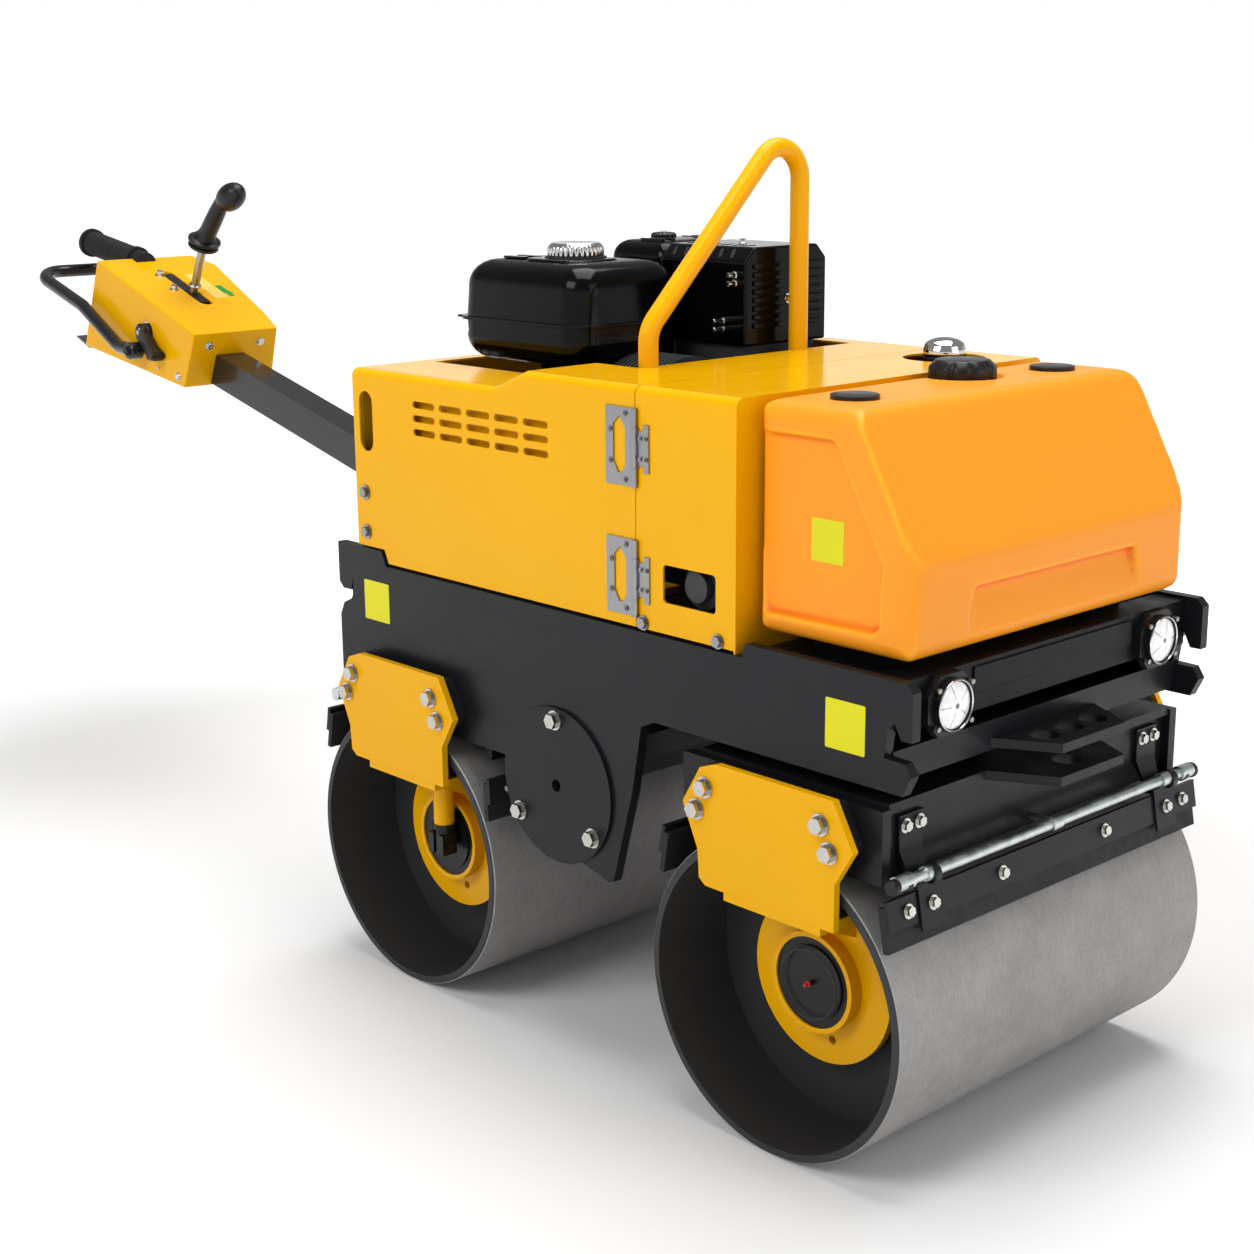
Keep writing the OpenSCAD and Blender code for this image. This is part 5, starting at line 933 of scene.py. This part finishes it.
# Loop bar: two bends in each arm, forged eyes and the pins that they turn on
LOOP_X, LOOP_Z, LOOP_R, LOOP_NEAR, LOOP_FAR = -1872, 874, 12.5, -113, 168
LOOP_BACK, LOOP_BEND = -2250, 55
LOOP_SLOPES, LOOP_RUNS = [radians(a) for a in (3, 28, 16.6)], (46, 132)
ARM_STEPS, CORNER_STEPS = 6, 10
EYE_HALF, EYE_PROFILE = 13, ((15, 0), (16.5, 1.5), (16.5, 24.5), (15, 26))
LOOP_ENDS = ((LOOP_NEAR, NEAR, BOX_NEAR), (LOOP_FAR, FAR, 130))  # place, side, box wall
PIN_R, PIN_SUNK, PIN_PAST, PIN_HEAD = 8, 2, 15, (11, 8, 6)


def loop_points():
    """The loop bar's middle line: an arm with two bends, the cross bar and the far arm."""
    first, second, last = LOOP_SLOPES
    x, z, bend = LOOP_X, LOOP_Z, LOOP_BEND
    arm = [(x, z)]
    for slope, after, run in ((first, second, LOOP_RUNS[0]), (second, last, LOOP_RUNS[1])):
        x, z = x - run * cos(slope), z + run * sin(slope)
        way = 1 if after > slope else -1
        cx, cz = x + way * bend * sin(slope), z + way * bend * cos(slope)
        for k in range(ARM_STEPS + 1):
            t = slope + (after - slope) * k / ARM_STEPS
            arm.append((cx - way * bend * sin(t), cz - way * bend * cos(t)))
        x, z = arm[-1]
    reach = (x - LOOP_BACK) / cos(last) - bend
    x, z = x - reach * cos(last), z + reach * sin(last)
    near = [Vector((px, LOOP_NEAR, pz)) for px, pz in arm]
    ahead, centre = Vector((-cos(last), 0, sin(last))), Vector((x, LOOP_NEAR + bend, z))
    turns = [pi / 2 * k / CORNER_STEPS for k in range(CORNER_STEPS + 1)]
    half = near + [centre + ahead * bend * sin(t) - Y_AXIS * bend * cos(t) for t in turns]
    middle = (LOOP_NEAR + LOOP_FAR) / 2
    return half + [Vector((p.x, 2 * middle - p.y, p.z)) for p in reversed(half)]


def loop_bar():
    bar = form_of(Form.tube, loop_points(), LOOP_R, 28)
    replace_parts(make("hold_loop", bar, BAR, "loop_bar", "frame_dark", angle=40), "loop_bar")
    ends, pins = Form(), Form()
    for y, way, wall in LOOP_ENDS:
        out = Y_AXIS * way
        ends.turned((LOOP_X, y - way * EYE_HALF, LOOP_Z), out, EYE_PROFILE, 36)
        pins.turned((LOOP_X, wall - way * PIN_SUNK, LOOP_Z), out,
                    [(PIN_R, 0), (PIN_R, abs(y - wall) + PIN_PAST)], 28)
        pins.bolt((LOOP_X, y + way * (EYE_HALF + 0.2), LOOP_Z), out, *PIN_HEAD)
    make("loop_eyes", ends, BAR, "loop_bar", "frame_dark", angle=40)
    make("loop_pins", pins, BLACK, "tiller", "black_plastic", angle=30)


# Drive lever: a ground rod, a ring, a collar of discs and a soft grip with a knob
LEVER_FOOT, LEVER_COLLAR, ROD_R = Vector((-1879, 22, 955)), Vector((-1818.5, 22, 1074.4)), 8
RING_UP, RING_PROFILE = 37, ((8.2, -1), (11.5, 0), (12.5, 2), (11.5, 4), (8.2, 5))
COLLAR_DOWN = 12
COLLAR_PROFILE = ((22, 0), (28, 0.8), (29.5, 3), (28.5, 6.5), (25, 8), (25, 10.5), (30, 11.5),
                  (31.5, 14), (31, 17.5), (27, 19.5), (18, 21))
GRIP_LEAN, GRIP_VOXEL, GRIP_SMOOTHING = radians(44), 1.8, 8
GRIP_PROFILE = ((25, 0), (22.5, 5), (18.5, 13), (16.8, 26), (16.8, 50), (16, 75), (14.2, 98),
                (13.6, 112), (13.6, 126))
BALL_LEAN, BALL_SHIFT, BALL_R, BALL_HALF = radians(66), Vector((104, 0, 86)), 25, 38


def leaning(angle):
    """The direction that leans ahead from upright by an angle."""
    return Vector((sin(angle), 0, cos(angle)))


def drive_lever():
    foot, collar = LEVER_FOOT, LEVER_COLLAR
    lean = (collar - foot).normalized()
    rod = turned(foot, lean, [(ROD_R, 0), (ROD_R, (collar - foot).length - 6)], 28)
    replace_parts(make("lever_rod", rod, ROD, "drive_lever", "zinc"), "drive_lever")
    ring = turned(foot + lean * RING_UP, lean, RING_PROFILE, 32)
    make("lever_ring", ring, SILVER, "drive_lever", "zinc", angle=60)
    discs = turned(collar - lean * COLLAR_DOWN, lean, COLLAR_PROFILE, 56)
    make("lever_collar", discs, BLACK, "drive_lever", "black_plastic", angle=50)
    grip = turned(collar + lean * 4, leaning(GRIP_LEAN), GRIP_PROFILE, 40)
    ball = [(BALL_R * sin(radians(a)), -BALL_HALF * cos(radians(a))) for a in range(4, 180, 8)]
    grip.turned(collar + BALL_SHIFT, leaning(BALL_LEAN), ball, 40)
    piece = added("lever_grip", mesh_of("lever_grip", grip))
    soften(piece, GRIP_VOXEL, GRIP_SMOOTHING)
    finish_piece(piece, BLACK, "drive_lever", "black_plastic", angle=60)


# Throttle: a knurled hub with a paddle; the paddle's points are shares of the hub's radius
THROTTLE_X, THROTTLE_Z, HUB_R, HUB_GAP = -1862, 908, 17, 0.6
HUB_PROFILE = ((HUB_R - 1, 0), (HUB_R, 1), (HUB_R, 6), (HUB_R - 1.5, 7.5), (HUB_R - 1.5, 9),
               (HUB_R, 10.5), (HUB_R, 16), (HUB_R - 2.5, 18), (9, 18.5), (8, 16))
PADDLE = ((-0.2, -0.6), (1.3, -1.7), (2.0, -2.85), (3.4, -2.95), (3.8, -2.55), (3.6, -1.95),
          (2.6, -1.5), (0.8, 0.2))
PADDLE_OUT = (24, 4)
TIP_X, TIP_Z, TIP_PROFILE = 3.3, -2.4, ((7, 0), (8, 1), (8, 27), (7, 28))
NUT_OUT, NUT, ROSETTE = 15.5, (8.5, 6, 5), ((HUB_R + 2.5, 0), (HUB_R + 2.5, 1.4), (4, 1.5))


def throttle():
    x, z, r, y = THROTTLE_X, THROTTLE_Z, HUB_R, BOX_NEAR - HUB_GAP
    hub = turned((x, y, z), -Y_AXIS, HUB_PROFILE, 44)
    side_slab(hub, [(x + a * r, z + b * r) for a, b in PADDLE], *(y - out for out in PADDLE_OUT))
    hub.turned((x + TIP_X * r, y - 2, z + TIP_Z * r), -Y_AXIS, TIP_PROFILE, 24)
    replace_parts(make("throttle_paddle", hub, BLACK, "throttle_lever", "black_plastic", 1.2),
                "throttle_lever")
    nut = form_of(Form.bolt, (x, y - NUT_OUT, z), -Y_AXIS, *NUT)
    make("throttle_nut", nut, ZINC, "tiller", "zinc", angle=30)
    stay = turned((x, BOX_NEAR + 1, z), -Y_AXIS, ROSETTE, 40)
    make("throttle_rosette", stay, SILVER, "tiller", "zinc")


# Lamps, hubs, sprinkler, patches and linings
LAMP_RING = ((30.2, 0), (32, 0), (32.4, 1.5), (32, 3.6), (31.2, 4.2), (30.3, 3.6))
LAMP_SCREW_Y, LAMP_SCREW_Z, LAMP_SCREW_X = 31, 23.5, LAMP_X - 0.4
BAND, BAND_X = ((-166, 621), (166, 621), (166, 654), (-166, 654)), (179, 182.6)


def lamps():
    """The lamps' bright rings and screws, and the flat bar along the upper beam."""
    rings, screws = Form(), Form()
    for y in (-LAMP_Y, LAMP_Y):
        rings.turned((LAMP_X, y, LAMP_Z), X_AXIS, LAMP_RING, 64, closed=True)
        for dy in (-LAMP_SCREW_Y, LAMP_SCREW_Y):
            for dz in (-LAMP_SCREW_Z, LAMP_SCREW_Z):
                screws.bolt((LAMP_SCREW_X, y + dy, LAMP_Z + dz), X_AXIS, 0, 3.4, 2.8, 20)
    make("lamp_rings", rings, CHROME, "chassis", "chrome_bright", angle=60)
    make("lamp_screws", screws, ROD, "chassis", "zinc", angle=30)
    # the flat bar shares the upper beam's painted shade
    make("beam_band", form_of(front_slab, BAND, *BAND_X), BEAM_SHADED_BLACK, "chassis", "frame_dark", 1.2)


HUBS = (("front", 0, "front_yoke", SIDES), ("rear", -760, "chassis", (FAR,)))
HUB_Z, HUB_RING_Y, NIPPLE_Y = 212.5, 250.6, 250.5
HUB_RING = ((46, 0), (47.5, 0), (47.5, 1.2), (46, 1.2))
NIPPLE = ((4.2, 0), (4.2, 2), (2.4, 3), (2.4, 6), (3, 7), (1.6, 8.5))
SIDE_NAMES = {NEAR: "near", FAR: "far"}


def hubs():
    """A ring and a red grease nipple on each hub cap that has no sprinkler post before it."""
    rings = {}
    for name, x, body, sides in HUBS:
        rings[name] = Form()
        for s in sides:
            out = Y_AXIS * s
            rings[name].turned((x, s * HUB_RING_Y, HUB_Z), out, HUB_RING, 56, closed=True)
            nipple = turned((x, s * NIPPLE_Y, HUB_Z), out, NIPPLE, 18)
            make(f"{name}_{SIDE_NAMES[s]}_nipple", nipple, RED, body, "zinc")
    for name, x, body, sides in reversed(HUBS):
        make("hub_rings_" + name, rings[name], CASTING, body, "cast_grey")


SPRAY_X, SPRAY_Z, SPRAY_END, SPRAY_COLLARS = 190, 416, 290, (-252, 258)
SPRAY_CAP = ((8, 0), (10, 1), (10, 10), (8.8, 11), (8.8, 24), (10.5, 25.5), (10.5, 31), (9, 32.5))
SPRAY_COLLAR = ((11.5, 0), (12.5, 1), (12.5, 11), (11.5, 12))


def sprinkler():
    """End caps and collars on the front spray bar."""
    caps = Form()
    for s in SIDES:
        caps.turned((SPRAY_X, s * SPRAY_END, SPRAY_Z), Y_AXIS * s, SPRAY_CAP, 32)
    for y in SPRAY_COLLARS:
        caps.turned((SPRAY_X, y, SPRAY_Z), Y_AXIS, SPRAY_COLLAR, 32)
    make("sprinkler_caps", caps, BLACK, "front_yoke", "black_plastic", angle=40)


PLATE_Y, PLATE_PATCHES = 311, ((-861, -799, 558, 619), (75, 137, 563, 625))
LINING_BOX, LINING_ROUND, LINING_Y = (-815, -420, 815, 925), 8, (291.5, 290)


def patches():
    """Plain patches on the side plates."""
    film = Form()
    for s in SIDES:
        for box in PLATE_PATCHES:
            flank(film, round_box(*box, PATCH_ROUND), s, PLATE_Y, PLATE_Y + PATCH_T)
    make("plate_patches", film, LABEL, "chassis", "body_yellow")


def linings():
    """A yellow inner skin behind the slots of each door."""
    for s, door in ((NEAR, "near_door"), (FAR, "far_door")):
        skin = Form()
        flank(skin, round_box(*LINING_BOX, LINING_ROUND), s, *LINING_Y)
        make(door + "_lining", skin, YELLOW, door, "body_yellow")


for builder in (water_tank, tank_fittings, filler, fuel_tank, air_box, guard, guard_marks,
                cylinder, control_box, loop_bar, drive_lever, throttle, lamps, hubs, sprinkler,
                patches, linings):
    builder()


# Floor, light and camera

WHITE = (1, 1, 1, 1)
FLOOR_CLOUD, FLOOR_ROUGHNESS, FLOOR_SHINE = (0.6, 2), 0.8, 0.1
FLOOR_TONES = ((TONE_LOW, (0.8, 0.8, 0.8)), (TONE_HIGH, (0.82, 0.82, 0.82)))


def floor():
    """A pale floor with a painted glow that grows away from the machine, so it fades to white there.
    """
    material, tree, shader = tree_of("floor")
    away = new(tree, "VectorMath", Vector=coords(tree))
    away.operation = "LENGTH"
    # painted glow, stronger the farther the floor is from the machine
    glow = remap(tree, away.outputs["Value"], FLOOR_NEAR, FLOOR_FAR, 0.0, FLOOR_PAINTED_GLOW)
    fill(tree, shader, Base_Color=ramp(tree, noise(tree, coords(tree), *FLOOR_CLOUD), FLOOR_TONES),
         Roughness=FLOOR_ROUGHNESS, Specular_IOR_Level=FLOOR_SHINE, Emission_Color=WHITE,
         Emission_Strength=glow)
    mesh = bpy.data.meshes.new("floor")
    r = FLOOR_REACH
    mesh.from_pydata([(-r, -r, 0), (r, -r, 0), (r, r, 0), (-r, r, 0)], [], [(0, 1, 2, 3)])
    mesh.materials.append(material)
    added("floor", mesh)


def aimed(piece, place, direction):
    """Puts a camera or light at a place, looking in a direction."""
    piece.location = place
    piece.rotation_mode = "QUATERNION"
    piece.rotation_quaternion = direction.to_track_quat("-Z", "Y")


def area_light(name, place, target, size, power):
    data = bpy.data.lights.new(name, "AREA")
    data.shape = "RECTANGLE"
    data.size, data.size_y = size
    data.energy = power
    aimed(added(name, data), place, Vector(target) - Vector(place))


def sky():
    """A soft white room, bright at the horizon and dim overhead."""
    world = bpy.data.worlds.new("studio")
    bpy.context.scene.world = world
    world.use_nodes = True
    tree = world.node_tree
    height = parts(tree, new(tree, "TexCoord").outputs["Generated"])[2]
    fill(tree, tree.nodes["Background"], Color=WHITE,
         Strength=remap(tree, height, SKY_LOW, SKY_HIGH, SKY_BRIGHT, SKY_DIM))


def camera():
    data = bpy.data.cameras.new("camera")
    data.sensor_width = SENSOR_MM
    data.sensor_fit = "HORIZONTAL"
    data.lens = FOCAL_PX / IMAGE_PX * SENSOR_MM
    data.clip_end = CAMERA_SIGHT
    eye = added("camera", data)
    a, e = radians(CAMERA_AZIMUTH), radians(CAMERA_ELEVATION)
    aimed(eye, CAMERA_PLACE, Vector((-sin(a) * cos(e), cos(a) * cos(e), -sin(e))))
    eye.rotation_quaternion = eye.rotation_quaternion @ Quaternion(Z_AXIS, radians(CAMERA_ROLL))
    bpy.context.scene.camera = eye


bpy.context.scene.view_settings.view_transform = "Standard"
floor()
sky()
for light in LIGHTS:
    area_light(*light)
camera()
